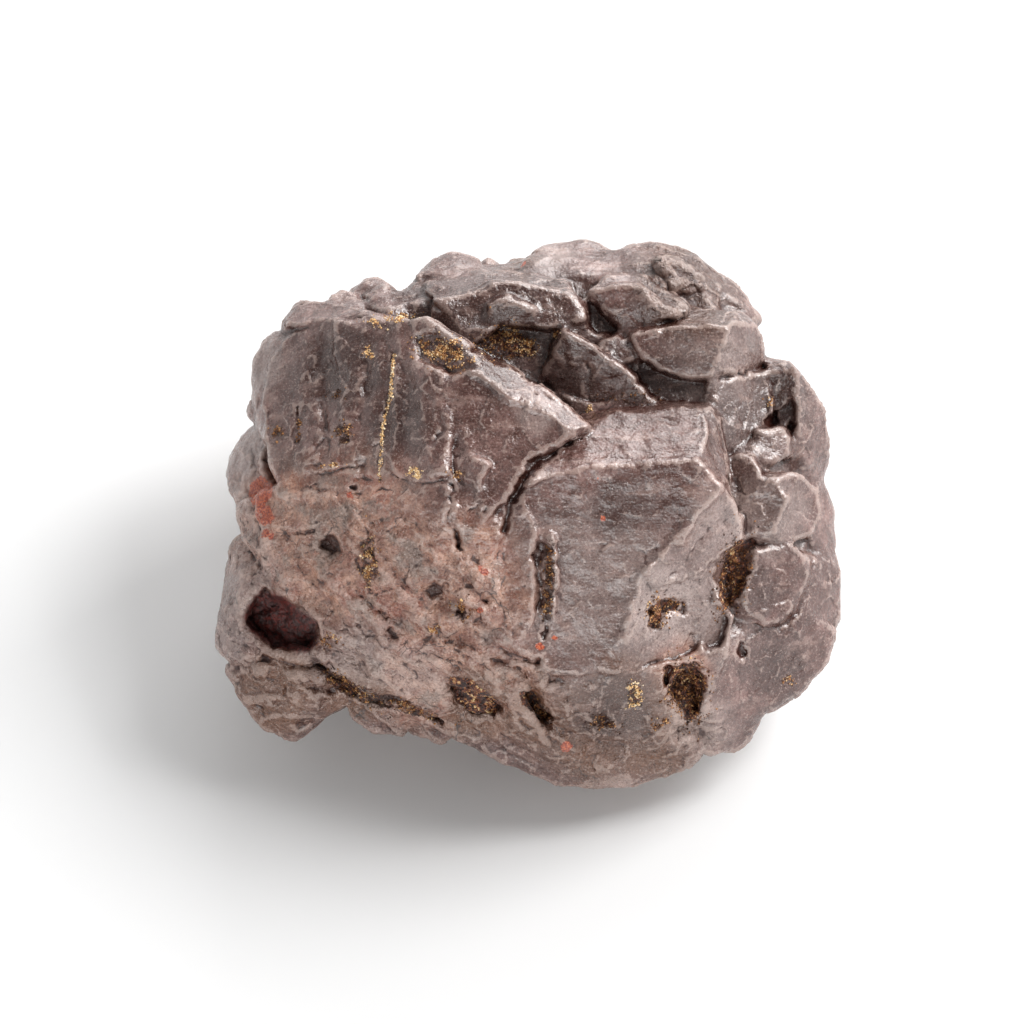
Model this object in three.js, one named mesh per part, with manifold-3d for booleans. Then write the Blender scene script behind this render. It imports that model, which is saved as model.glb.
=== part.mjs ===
// Prophecy stone: one lump of intergrown iron-oxide crystals, as it is found on the desert floor.
// Millimetres, +Z up, -Y the front. The origin lies on the flat crystal face that the stone rests on.
//
// The stone is one solid. Crystals that grow out of a common core are joined, pits and cracks are cut
// into them, the faces are roughened, and the underside is cut to the flat crystal face at z = 0.
import * as THREE from "three";
import { ConvexGeometry } from "three/addons/geometries/ConvexGeometry.js";
import { ImprovedNoise } from "three/addons/math/ImprovedNoise.js";
import { mergeVertices } from "three/addons/utils/BufferGeometryUtils.js";
import Module from "manifold-3d";

const wasm = await Module();
wasm.setup();

// ---- Driving dimensions ----

const LEAN = THREE.MathUtils.degToRad(60); // how far above level the best face looks
const MIDDLE = new THREE.Vector3(0, 0, 16.5); // middle of the stone
const CORE_MIDDLE = new THREE.Vector3(0, 3.2, 12.4);
const CORE_RADII = new THREE.Vector3(21.8, 17.8, 13.0); // the lump that all the crystals grow out of
const CORE_CORNERS = 44; // so its own facets are about 9 mm across
const ROOT_DEPTH = 0.45; // a crystal reaches this share of the way in towards the middle
const ROOT_FLARE = 1.05; // and is this much wider there

const MAX_EDGE = 3.0; // longest edge of a facet
const MIN_EDGE = 0.65; // shorter edges are closed up
const HAIR_EDGE = 0.02; // and an edge as short as this may turn the slivers beside it
const MOST_TURN = 0.35; // cosine of the most that closing an edge may turn a facet
const ROUGH_AMPLITUDE = 0.2; // how far the worn faces wander
const ROUGH_LENGTH = 4.2; // wavelength of that wandering
const FINE_SHIFT = new THREE.Vector3(7, 3, 5); // keeps the fine waves from lying on the coarse ones
const PIT_DETAIL = 1; // subdivisions of the icosahedron that a pit is cut with
const CRACK_FLARE = 2; // how much wider a crack's cutter is above its mouth
const WELD = 1e-4; // vertices closer than this are one
const LEAST_AREA = 1e-3; // closing an edge may leave no facet smaller than this
const BELOW = { side: 80, height: 20 }; // the block cut away under the resting face

// ---- The show frame ----
// The best face is measured in a frame of its own, centred on the stone: u to the right, v up
// along the face and w out of it.

function show([u, v, w]) {
  return new THREE.Vector3(
    u,
    v * Math.sin(LEAN) - w * Math.cos(LEAN),
    v * Math.cos(LEAN) + w * Math.sin(LEAN),
  ).add(MIDDLE);
}

// ---- Crystals of the best face: the corners that stand free, each [u, v, w] ----

const CRYSTALS = {
  leftSlab: [
    [-21.2, 8.6, 2.0], [-20.6, 12.8, 1.4], [-16.8, 15.5, 3.4], [-11.4, 14.6, 7.0], [-8.2, 15.8, 8.4],
    [-6.4, 13.8, 9.8], [0.2, 10.8, 11.0], [4.9, 7.0, 11.8], [3.0, 6.6, 12.4], [1.6, 4.9, 12.7],
    [-1.4, 1.4, 12.8], [-5.2, 11.6, 10.9], [-6.0, 2.0, 12.0], [-11.3, 2.6, 9.4], [-15.0, 3.2, 7.4],
    [-20.0, 2.4, 4.6], [-20.8, 4.2, 3.4],
  ],
  rightCube: [
    [-0.4, 2.4, 12.5], [5.6, 4.0, 12.5], [13.2, 4.6, 11.6], [15.3, 2.3, 10.7], [17.0, 0.5, 7.9],
    [16.9, -2.0, 7.1], [15.0, -3.4, 7.8], [9.6, -5.4, 10.4], [7.4, -12.4, 9.0], [1.6, -12.6, 9.2],
    [-1.8, -9.8, 9.8], [-1.9, 0.4, 11.6], [2.2, 5.0, 10.9], [6.0, 7.9, 7.5], [9.0, 8.3, 7.3],
    [13.9, 8.7, 6.9], [14.6, 6.2, 8.9],
  ],
  lowerRightFace: [
    [9.6, -5.6, 9.0], [14.0, -4.0, 7.2], [16.6, -8.0, 6.2], [15.8, -11.4, 6.0],
    [14.4, -15.6, 3.6], [9.6, -19.0, 1.6], [3.0, -19.2, 2.2], [1.0, -13.4, 8.4], [7.4, -12.6, 8.6],
  ],
  lowerRightFlank: [
    [15.8, -10.4, 5.4], [22.0, -7.4, 1.6], [24.9, -9.3, -1.0], [24.4, -11.6, -1.6],
    [22.3, -14.1, -1.4], [18.8, -16.3, -0.4], [14.8, -16.8, 2.2], [13.6, -16.6, 3.2],
    [22.4, -11.0, -7.0], [18.6, -14.4, -6.8],
  ],
  rightLump: [
    [21.0, -6.0, 2.8], [22.4, -3.4, 1.8], [24.6, -3.2, -2.4], [25.1, -4.6, -2.6], [25.1, -8.2, -3.0],
    [24.2, -10.0, -2.0], [21.6, -9.6, 1.8],
    [24.4, -5.6, -7.8], [23.8, -8.8, -7.4],
  ],
  smoothLump: [
    [17.9, -2.8, 5.8], [20.4, -2.4, 5.2], [22.0, -2.8, 3.8], [22.5, -5.0, 3.0], [21.6, -7.0, 3.2],
    [20.0, -8.5, 3.8], [18.7, -8.9, 4.4], [17.5, -8.0, 5.2], [17.2, -6.2, 5.8], [17.8, -4.4, 6.0],
  ],
  roundLump: [
    [18.4, 2.4, 6.2], [19.6, 2.9, 6.4], [20.8, 1.4, 6.2], [19.6, -1.2, 6.2], [18.3, -2.0, 5.6],
    [21.8, 3.5, 4.6], [23.2, 2.2, 2.6], [23.5, 0.0, 1.8], [22.5, -1.7, 2.8], [20.2, -2.3, 4.8],
  ],
  farRightLump: [
    [22.4, 2.4, -0.4], [23.8, 2.6, -3.0], [24.6, 0.4, -3.6], [24.7, -3.4, -3.2],
    [23.4, -4.0, -2.0], [22.8, -2.0, 0.4],
    [23.8, 1.0, -8.4], [24.0, -3.2, -8.0],
  ],
  darkFlank: [
    [15.9, 4.6, 5.4], [17.6, 4.8, 5.6], [18.7, 3.0, 6.2], [18.6, -1.0, 6.0], [17.5, -2.0, 5.6],
    [16.6, 0.4, 5.6],
  ],
  stubLump: [
    [18.2, 6.8, 3.6], [20.4, 7.0, 3.4], [21.0, 6.2, 2.8], [21.0, 4.7, 3.4], [18.8, 4.5, 4.8],
    [19.2, 3.6, 4.4], [17.9, 5.4, 4.8],
  ],
  rightRecess: [
    [14.8, 10.9, 6.0], [16.9, 11.2, 4.0], [19.0, 11.4, 2.4], [19.2, 7.4, 2.6], [17.2, 5.4, 4.0],
    [15.2, 5.2, 5.8],
  ],
  rightWedge: [
    [18.8, 12.8, 0.6], [21.0, 12.2, 1.4], [21.3, 11.6, 2.8], [22.7, 10.2, 1.0], [24.0, 8.4, -1.4],
    [24.3, 4.8, -2.6], [24.0, 2.8, -3.6], [22.3, 3.8, 1.0], [21.3, 7.6, 2.4], [19.4, 8.4, 1.6],
    [22.0, 8.6, -8.4], [23.2, 3.4, -9.0],
  ],
  rightFloor: [
    [17.6, 11.6, 1.6], [21.6, 9.0, 0.4], [22.6, 3.0, -0.4], [23.6, -4.0, -1.2], [22.8, -9.0, -0.6],
    [17.4, -9.4, 4.2], [16.6, -2.0, 4.6], [17.2, 4.8, 4.2],
  ],
  cornerBlock: [
    [7.8, 14.3, 5.8], [12.4, 16.2, 3.2], [16.8, 16.2, 2.2], [16.3, 15.3, 6.4], [12.2, 15.0, 7.3],
    [8.8, 12.8, 5.8], [10.4, 11.6, 6.2], [12.8, 10.9, 6.7], [14.5, 11.1, 6.8], [15.8, 13.6, 6.8],
    [18.3, 15.2, 2.4], [19.0, 13.6, 1.2], [18.7, 12.0, 1.8], [17.4, 11.4, 3.6], [15.6, 11.1, 5.8],
    [18.4, 12.0, -6.8], [17.0, 14.4, -6.4],
  ],
  undercutFloor: [
    [8.6, 10.6, 4.4], [10.4, 11.8, 4.4], [14.2, 11.2, 5.0], [14.4, 8.6, 5.6], [10.4, 8.6, 5.0],
    [12.0, 10.0, 5.2],
  ],
  smallCube: [
    [2.8, 14.7, 7.5], [1.1, 11.0, 5.3], [3.0, 9.4, 5.1], [4.7, 8.9, 5.5], [6.3, 8.7, 5.2],
    [8.5, 10.6, 6.3], [5.9, 13.0, 8.2], [4.6, 13.7, 8.2], [8.0, 12.2, 5.2],
  ],
  valleyFloor: [
    [-4.6, 13.2, 5.0], [-2.2, 15.2, 5.0], [1.2, 14.9, 4.4], [4.8, 16.0, 3.4], [9.2, 12.6, 4.6],
    [10.6, 8.8, 5.2], [5.0, 8.4, 5.0], [1.0, 10.2, 4.6], [-2.0, 11.9, 5.0],
  ],
  ridgeBlock: [
    [-7.8, 17.4, 4.8], [-6.6, 18.9, 1.4], [-0.4, 19.3, 1.4], [3.2, 18.7, 1.8], [3.6, 17.9, 5.2],
    [-2.2, 18.4, 6.0], [4.8, 15.9, 5.2], [2.6, 14.9, 5.6], [-5.4, 14.9, 6.6], [-1.6, 15.0, 6.6],
    [-3.2, 17.0, 7.0], [0.4, 16.6, 7.0], [-1.6, 17.4, 7.1],
  ],
  ridgeWedge: [
    [4.4, 18.0, 4.2], [6.6, 19.2, 1.8], [9.2, 19.0, 1.8], [12.6, 16.2, 3.4], [12.1, 15.7, 5.4],
    [9.0, 18.2, 5.4], [6.4, 18.5, 5.2], [9.6, 14.9, 5.0], [7.4, 15.1, 4.8], [5.8, 16.9, 4.6],
  ],
  topLeftLedge: [
    [-13.4, 16.9, 0.2], [-12.2, 17.5, -1.2], [-7.0, 18.6, -0.8], [-7.6, 17.3, 3.0],
    [-11.4, 16.4, 3.4],
  ],
  topLeftPeak: [
    [-9.2, 18.7, -2.0], [-7.5, 20.4, -3.4], [-5.9, 21.3, -3.4], [-4.0, 20.5, -2.2],
    [-3.0, 19.2, 0.6], [-7.0, 19.0, 1.0],
    [-9.6, 17.6, -7.4], [-4.6, 18.6, -7.6],
  ],
  topSaddle: [
    [-4.8, 19.8, -3.0], [-0.2, 20.2, -2.6], [3.0, 19.6, -0.8], [-1.6, 18.6, 1.4], [-5.4, 18.8, 0.8],
    [-4.6, 18.4, -7.8], [1.2, 18.8, -8.2],
  ],
  topLeftPyramid: [
    [-16.2, 17.2, 0.0], [-14.9, 18.0, -1.6], [-13.6, 17.3, 0.2], [-14.6, 16.8, 2.4],
    [-16.4, 15.0, -5.4], [-12.8, 16.0, -5.8],
  ],
  leftLedge: [
    [-19.8, 15.0, 0.4], [-18.7, 17.2, -1.6], [-16.4, 17.2, 1.4], [-13.2, 16.6, 3.0],
    [-11.2, 15.8, 4.6], [-16.6, 15.7, 3.6],
    [-19.0, 13.6, -5.0], [-16.4, 15.2, -5.4],
  ],
  leftShoulder: [
    [-22.3, 12.3, -1.6], [-20.2, 15.0, -1.6], [-22.0, 8.0, -1.6], [-21.4, 10.0, 0.6],
    [-19.8, 14.0, 1.2], [-21.2, 6.0, 1.0],
    [-19.6, 11.2, -6.4], [-20.2, 6.4, -6.8],
  ],
  topLeftFloor: [
    [-21.4, 6.0, -2.0], [-20.4, 12.6, -1.6], [-16.0, 16.0, -1.0], [-9.0, 18.6, -2.8], [-3.0, 18.8, -2.0],
    [-4.0, 16.8, 2.6], [-11.0, 15.4, 3.0], [-18.0, 13.0, 1.6], [-20.6, 6.0, 0.6],
  ],
  topBlock: [
    [-0.4, 20.4, -0.8], [1.4, 21.7, -3.4], [5.0, 22.1, -3.8], [7.4, 21.5, -2.6], [7.4, 19.4, 1.0],
    [3.4, 19.1, 1.4], [0.0, 19.2, 1.0],
    [0.4, 19.4, -8.6], [6.6, 19.9, -8.8],
  ],
  topRightBlock: [
    [7.6, 21.5, -2.4], [9.8, 22.1, -3.8], [12.6, 21.6, -4.0], [15.9, 19.2, -3.8],
    [17.6, 17.7, -3.4], [18.9, 15.8, -3.2], [16.6, 15.9, 0.8], [13.0, 16.4, 2.4],
    [10.2, 18.7, 2.4], [8.0, 19.3, 1.4],
    [8.2, 19.7, -8.6], [14.2, 17.2, -8.8], [17.2, 14.4, -8.0],
  ],
  lowerLeftMass: [
    [-20.6, 2.0, 3.6], [-19.0, 1.8, 5.0], [-12.0, 1.6, 9.2], [-6.0, 1.0, 12.2], [-2.2, -1.2, 11.8],
    [-1.6, -8.0, 10.2], [-2.2, -10.4, 9.2], [-5.4, -12.6, 7.4], [-9.8, -13.9, 4.8],
    [-13.1, -10.8, 6.0], [-16.7, -8.3, 5.6], [-20.8, -5.6, 3.2], [-23.2, -1.6, 0.2], [-23.2, 1.0, 0.0],
  ],
  leftRim: [
    [-24.5, 3.6, -3.2], [-23.6, 5.3, -3.2], [-21.6, 7.7, -2.6], [-21.0, 5.0, 0.4],
    [-21.8, 2.4, 1.2], [-23.6, 1.2, -1.2],
    [-23.6, 2.6, -8.0], [-22.8, 6.2, -7.2],
  ],
  leftKnob: [
    [-25.1, -10.4, -2.8], [-24.4, -6.0, -2.8], [-23.6, -2.0, -1.6], [-21.4, -5.2, 3.0],
    [-16.0, -7.6, 5.4], [-15.6, -11.6, 4.6], [-22.0, -11.8, 2.0], [-24.0, -11.6, 0.0],
    [-23.9, -8.0, 1.8],
    [-24.2, -9.4, -7.6], [-23.8, -3.6, -7.0],
  ],
  leftFoot: [
    [-24.0, -12.0, -1.4], [-22.0, -11.4, 1.6], [-16.6, -11.6, 3.2], [-14.6, -14.9, 1.2],
    [-18.8, -18.1, -3.0], [-21.2, -17.2, -2.8], [-22.9, -14.8, -1.8], [-18.4, -14.4, 2.2],
    [-22.4, -13.6, -6.8], [-18.6, -16.2, -7.2], [-15.4, -14.2, -5.0],
  ],
  lowerLeftFloor: [
    [-19.0, -9.0, 3.0], [-14.8, -9.6, 4.4], [-10.6, -13.6, 3.4], [-12.8, -15.6, 0.6],
    [-17.6, -14.6, 1.0],
  ],
  lowerMass: [
    [-16.8, -9.6, 4.6], [-16.4, -11.4, 4.2], [-14.2, -13.3, 3.8], [-11.4, -14.4, 3.6], [-9.6, -14.6, 4.0],
    [-5.4, -13.0, 6.6], [-1.4, -12.4, 7.4], [-1.4, -15.0, 5.2], [-2.6, -19.6, -0.6], [-4.6, -18.1, 1.2],
    [-8.4, -15.8, 2.6],
  ],
  strataBand: [
    [-9.2, -9.8, 7.6], [-5.0, -11.4, 8.4], [-0.6, -13.6, 8.0], [-0.2, -15.6, 6.6], [0.4, -18.0, 4.2],
    [2.4, -19.6, 2.0], [0.6, -19.6, 0.8], [-1.6, -17.4, 3.4], [-2.2, -14.6, 5.8], [-6.4, -12.6, 6.8],
  ],
  hangingLump: [
    [-15.0, -14.0, 2.2], [-12.4, -14.6, 3.0], [-9.2, -15.0, 3.0], [-8.6, -17.4, 1.2], [-10.6, -17.9, -1.0],
    [-12.4, -17.5, -1.2], [-14.4, -16.1, -0.6],
  ],
  smallHangingLump: [
    [-8.6, -15.6, 2.4], [-5.4, -16.0, 2.6], [-5.4, -18.1, 0.0], [-7.0, -18.5, -1.2],
    [-8.4, -17.9, -0.4],
  ],
  bottomBlock: [
    [-1.6, -11.2, 8.6], [1.6, -12.8, 8.0], [2.8, -19.2, 2.6], [9.2, -21.3, -0.6],
    [6.2, -22.1, -1.8], [1.4, -21.2, -1.6], [-2.6, -19.7, -1.2], [-1.2, -15.4, 5.2],
    [-1.6, -18.0, -5.8], [4.6, -19.6, -6.2],
  ],
  bottomRim: [
    [2.8, -19.4, 2.0], [9.4, -19.2, 1.4], [13.8, -17.6, 1.4], [13.8, -19.6, -1.4],
    [10.7, -21.1, -2.0], [9.0, -21.7, -2.0], [5.0, -21.9, -1.2],
    [5.4, -19.6, -6.4], [11.2, -18.2, -6.4],
  ],
  bottomRightShard: [
    [15.0, -17.2, 1.4], [19.0, -16.5, -0.8], [17.8, -18.2, -1.8], [16.2, -19.2, -1.8],
    [14.4, -19.4, -0.6],
    [15.6, -16.6, -6.2], [18.2, -15.0, -5.6],
  ],
};

// ---- Pits: [u, v, w] of the mouth, [across, along, deep] radii and the turn in the face ----

const PITS = {
  bigHole: { at: [-19.5, -8.6, 3.7], radii: [3.3, 2.3, 3.2], turn: -20 },
  deepPit: { at: [16.5, -4.8, 6.4], radii: [1.2, 2.9, 2.2], turn: -18 },
  grainPit: { at: [12.7, -13.9, 5.2], radii: [1.7, 2.4, 1.8], turn: 10 },
  longSlot: { at: [1.6, -5.2, 11.3], radii: [0.9, 3.7, 1.2], turn: -4 },
  brownHollow: { at: [-4.4, -15.2, 5.0], radii: [2.2, 1.4, 1.9], turn: -20 },
  lowerSlot: { at: [0.5, -15.0, 6.6], radii: [0.8, 2.0, 1.9], turn: 38 },
  topHollow: { at: [13.0, 18.0, 1.6], radii: [2.4, 1.7, 1.4], turn: -35 },
  ridgeGap: { at: [5.9, 15.6, 5.4], radii: [0.75, 1.8, 2.0], turn: 40 },
  roundPit: { at: [-15.7, -2.3, 7.4], radii: [1.0, 0.9, 1.1], turn: 0 },
};

// ---- Cracks and gaps: a wedge along a line of [u, v, w], with its width and depth ----

const CRACKS = {
  slabGap: {
    line: [
      [4.9, 6.9, 12.0], [3.6, 6.0, 12.4], [2.0, 5.0, 12.7], [0.8, 4.2, 12.8], [-0.4, 2.9, 12.9],
      [-1.1, 1.4, 12.7], [-2.0, -1.2, 12.0],
    ],
    width: 0.9, depth: 1.8,
  },
  footGroove: {
    line: [
      [-16.6, -11.6, 4.2], [-15.6, -12.9, 4.0], [-13.8, -14.0, 3.8], [-12.0, -14.8, 3.6],
      [-10.2, -15.0, 3.8], [-8.8, -15.7, 3.2], [-5.8, -16.4, 3.0],
    ],
    width: 0.8, depth: 1.3,
  },
  ledgeGap: {
    line: [[5.6, 7.6, 8.6], [8.6, 8.6, 7.6], [13.6, 8.7, 7.4]],
    width: 0.7, depth: 1.4,
  },
  cubeSide: {
    line: [[15.4, 3.6, 8.0], [17.2, 0.6, 7.0], [17.0, -2.2, 6.6]],
    width: 0.7, depth: 1.6,
  },
};

// ---- Hidden sides: crystals and pits of the same sizes, scattered evenly round the back ----

const HIDDEN = {
  middle: new THREE.Vector3(0, 1.2, 16.5),
  radii: new THREE.Vector3(23.0, 19.4, 17.8), // the surface that they lie in
  showLimit: -0.1, // a place closer to the show direction than this is left to the crystals above
  large: { count: 44, seed: 7, size: [9.0, 15.0], thickness: [6.0, 9.0], proud: [-0.4, 1.0], tilt: 0.25 },
  small: { count: 50, seed: 19, size: [3.8, 7.4], thickness: [4.0, 6.0], proud: [-0.2, 1.1], tilt: 0.5 },
  skew: 0.28, // share of its size that a corner may be drawn in by
  bevel: 0.12, // share of the smallest side that is worn off the edges
  pits: { count: 30, seed: 23, radius: [0.7, 2.0] },
};

// ---- Tools ----

const noise = new ImprovedNoise();

function seeded(seed) {
  let state = seed;
  return () => {
    state = (state * 1664525 + 1013904223) % 4294967296;
    return state / 4294967296;
  };
}

function between([low, high], share) {
  return low + (high - low) * share;
}

function solidOf(geometry) {
  const bare = geometry.clone();
  bare.deleteAttribute("normal");
  bare.deleteAttribute("uv");
  const merged = mergeVertices(bare, WELD);
  const triVerts = merged.index
    ? new Uint32Array(merged.index.array)
    : Uint32Array.from({ length: merged.getAttribute("position").count }, (_, i) => i);
  return new wasm.Manifold(
    new wasm.Mesh({ numProp: 3, vertProperties: merged.getAttribute("position").array, triVerts }),
  );
}

// The hull of a crystal's free corners and of its root, the same corners moved in towards the middle.
function crystal(corners) {
  const face = corners.reduce((sum, p) => sum.add(p), new THREE.Vector3()).divideScalar(corners.length);
  const root = face.clone().lerp(MIDDLE, ROOT_DEPTH);
  const roots = corners.map((p) => p.clone().sub(face).multiplyScalar(ROOT_FLARE).add(root));
  return solidOf(new ConvexGeometry([...corners, ...roots]));
}

function ellipsoid(middle, radii, turn) {
  return solidOf(
    new THREE.IcosahedronGeometry(1, PIT_DETAIL)
      .scale(...radii.toArray())
      .applyQuaternion(turn)
      .translate(...middle.toArray()),
  );
}

// A turn that carries z onto a direction, after a spin about z.
function facing(direction, spin) {
  const about = new THREE.Quaternion().setFromAxisAngle(new THREE.Vector3(0, 0, 1), spin);
  return new THREE.Quaternion()
    .setFromUnitVectors(new THREE.Vector3(0, 0, 1), direction)
    .multiply(about);
}

const SHOW_DIRECTION = show([0, 0, 1]).sub(MIDDLE);

function pit({ at, radii, turn }) {
  const spin = new THREE.Quaternion().setFromAxisAngle(
    SHOW_DIRECTION,
    THREE.MathUtils.degToRad(turn),
  );
  const lean = new THREE.Quaternion().setFromAxisAngle(new THREE.Vector3(1, 0, 0), Math.PI / 2 - LEAN);
  return ellipsoid(show(at), new THREE.Vector3(...radii), spin.multiply(lean));
}

// One wedge for each stretch of the line: wide at the mouth, an edge at the bottom.
function crack({ line, width, depth }) {
  return line.slice(1).map((end, i) => {
    const start = line[i];
    const side = new THREE.Vector2(end[0] - start[0], end[1] - start[1])
      .rotateAround(new THREE.Vector2(), Math.PI / 2)
      .setLength((width / 2) * CRACK_FLARE);
    const corners = [start, end].flatMap(([u, v, w]) => [
      show([u + side.x, v + side.y, w + depth]),
      show([u - side.x, v - side.y, w + depth]),
      show([u, v, w - depth]),
    ]);
    return solidOf(new ConvexGeometry(corners));
  });
}

// Directions spread evenly round a sphere, on a spiral.
function spread(count, offset) {
  const golden = Math.PI * (3 - Math.sqrt(5));
  return Array.from({ length: count }, (_, i) => {
    const z = 1 - (2 * (i + 0.5)) / count;
    const ring = Math.sqrt(1 - z * z);
    const angle = golden * i + offset;
    return new THREE.Vector3(ring * Math.cos(angle), ring * Math.sin(angle), z);
  });
}

function coreSolid() {
  const corners = spread(CORE_CORNERS, 0).map((p) => p.multiply(CORE_RADII).add(CORE_MIDDLE));
  return solidOf(new ConvexGeometry(corners));
}

// The hidden places among them, each with its direction and its point of the hidden surface.
function hiddenPlaces(count, offset) {
  return spread(count, offset)
    .filter((direction) => direction.dot(SHOW_DIRECTION) < HIDDEN.showLimit)
    .map((direction) => ({
      direction,
      point: direction.clone().multiply(HIDDEN.radii).add(HIDDEN.middle),
    }));
}

// The corners of a skewed box whose edges are worn away.
function wornBox(width, length, height, random) {
  const bevel = HIDDEN.bevel * Math.min(width, length, height);
  const corners = [];
  for (const x of [-1, 1])
    for (const y of [-1, 1])
      for (const z of [-1, 1]) {
        const [a, b, c] = [width, length, height].map((side) => (side / 2) * (1 - HIDDEN.skew * random()));
        corners.push(
          new THREE.Vector3(x * a, y * (b - bevel), z * (c - bevel)),
          new THREE.Vector3(x * (a - bevel), y * b, z * (c - bevel)),
          new THREE.Vector3(x * (a - bevel), y * (b - bevel), z * c),
        );
      }
  return corners;
}

function hiddenCrystals({ count, seed, size, thickness, proud, tilt }) {
  const random = seeded(seed);
  return hiddenPlaces(count, seed).map(({ direction, point }) => {
    const height = between(thickness, random());
    const lean = new THREE.Vector3(random() - 0.5, random() - 0.5, random() - 0.5);
    const outward = direction
      .clone()
      .divide(HIDDEN.radii)
      .normalize()
      .addScaledVector(lean, tilt * 2)
      .normalize();
    const turn = facing(outward, random() * Math.PI);
    const middle = point.addScaledVector(outward, between(proud, random()) - height / 2);
    const corners = wornBox(between(size, random()), between(size, random()), height, random);
    return crystal(corners.map((p) => p.applyQuaternion(turn).add(middle)));
  });
}

function hiddenPits({ count, seed, radius }) {
  const random = seeded(seed);
  return hiddenPlaces(count, seed).map(({ direction, point }) => {
    const radii = new THREE.Vector3(...Array.from({ length: 3 }, () => between(radius, random())));
    return ellipsoid(point, radii, facing(direction, random() * Math.PI));
  });
}

// ---- Worn faces ----

function normalOf([a, b, c]) {
  return b.clone().sub(a).cross(c.clone().sub(a));
}

// The largest set of triangles that hangs together. Bubbles sealed between crystals are left out.
function outerShell(triangles, vertexCount) {
  const parent = Array.from({ length: vertexCount }, (_, i) => i);
  const rootOf = (i) => (parent[i] === i ? i : rootOf((parent[i] = parent[parent[i]])));
  for (const [a, b, c] of triangles) {
    parent[rootOf(a)] = rootOf(b);
    parent[rootOf(b)] = rootOf(c);
  }
  const shells = [...Map.groupBy(triangles, ([a]) => rootOf(a)).values()];
  return shells.sort((one, other) => other.length - one.length)[0];
}

// Closes up edges shorter than the limit, where the surface stays closed and no facet turns over.
function closedUp(vertices, triangles, limit) {
  const around = vertices.map(() => new Set());
  triangles.forEach((corners, t) => corners.forEach((i) => around[i].add(t)));
  const neighbours = (i) => new Set([...around[i]].flatMap((t) => triangles[t]).filter((j) => j !== i));
  const sharpness = (i) => {
    const normals = [...around[i]].map((t) => normalOf(triangles[t].map((j) => vertices[j])).normalize());
    return Math.max(...normals.flatMap((n, k) => normals.slice(k + 1).map((m) => 1 - n.dot(m))));
  };
  const turnsOver = (moved, kept, place) =>
    [...around[moved]].some((t) => {
      if (triangles[t].includes(kept)) return false;
      const before = normalOf(triangles[t].map((j) => vertices[j]));
      const after = normalOf(triangles[t].map((j) => (j === moved ? place : vertices[j])));
      const turned = before.dot(after) < MOST_TURN * before.length() * after.length();
      return turned || after.length() < LEAST_AREA;
    });
  let closed = 1;
  while (closed > 0) {
    closed = 0;
    const edges = triangles
      .flatMap((t) => (t ? [[t[0], t[1]], [t[1], t[2]], [t[2], t[0]]] : []))
      .filter(([i, j]) => i < j)
      .map(([i, j]) => ({ i, j, length: vertices[i].distanceTo(vertices[j]) }))
      .filter(({ length }) => length < limit)
      .sort((a, b) => a.length - b.length);
    for (const { i, j, length } of edges) {
      if (!neighbours(i).has(j)) continue;
      const shared = [...neighbours(i)].filter((k) => neighbours(j).has(k));
      if (shared.length !== 2) continue;
      const [kept, moved] = sharpness(i) >= sharpness(j) ? [i, j] : [j, i];
      if (length > HAIR_EDGE && turnsOver(moved, kept, vertices[kept])) continue;
      for (const t of [...around[moved]]) {
        if (triangles[t].includes(kept)) {
          triangles[t].forEach((k) => around[k].delete(t));
          triangles[t] = null;
        } else {
          triangles[t] = triangles[t].map((k) => (k === moved ? kept : k));
          around[kept].add(t);
        }
      }
      around[moved].clear();
      closed += 1;
    }
  }
  return triangles.filter((t) => t !== null);
}

// Splits every edge longer than the limit at its middle, until none is left.
function refined(vertices, triangles, limit) {
  for (;;) {
    const middles = new Map();
    const middleOf = (i, j) => {
      const key = i < j ? `${i},${j}` : `${j},${i}`;
      if (!middles.has(key)) {
        const long = vertices[i].distanceTo(vertices[j]) > limit;
        middles.set(key, long ? vertices.push(vertices[i].clone().lerp(vertices[j], 0.5)) - 1 : -1);
      }
      return middles.get(key);
    };
    const made = [];
    for (const [a, b, c] of triangles) {
      const [ab, bc, ca] = [middleOf(a, b), middleOf(b, c), middleOf(c, a)];
      made.push(...split([a, b, c], [ab, bc, ca]));
    }
    if (made.length === triangles.length) return made;
    triangles = made;
  }
}

// One triangle as 1 to 4, where the middles of some of its edges are given and the others are -1.
function split([a, b, c], [ab, bc, ca]) {
  const cut = [ab, bc, ca].filter((m) => m >= 0).length;
  if (cut === 0) return [[a, b, c]];
  if (cut === 3) return [[a, ab, ca], [ab, b, bc], [ca, bc, c], [ab, bc, ca]];
  if (ab < 0) return split([b, c, a], [bc, ca, ab]);
  if (cut === 1) return [[a, ab, c], [ab, b, c]];
  if (bc >= 0) return [[a, ab, c], [ab, bc, c], [ab, b, bc]];
  return [[a, ab, ca], [ab, b, c], [ab, c, ca]];
}

function vertexNormals(vertices, triangles) {
  const normals = vertices.map(() => new THREE.Vector3());
  for (const [a, b, c] of triangles) {
    const across = vertices[b].clone().sub(vertices[a]);
    const along = vertices[c].clone().sub(vertices[a]);
    const facet = across.cross(along);
    for (const i of [a, b, c]) normals[i].add(facet);
  }
  return normals.map((n) => n.normalize());
}

function wander(p) {
  const coarse = p.clone().divideScalar(ROUGH_LENGTH);
  const fine = coarse.clone().multiplyScalar(2).add(FINE_SHIFT);
  return noise.noise(...coarse.toArray()) + noise.noise(...fine.toArray()) / 2;
}

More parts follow.
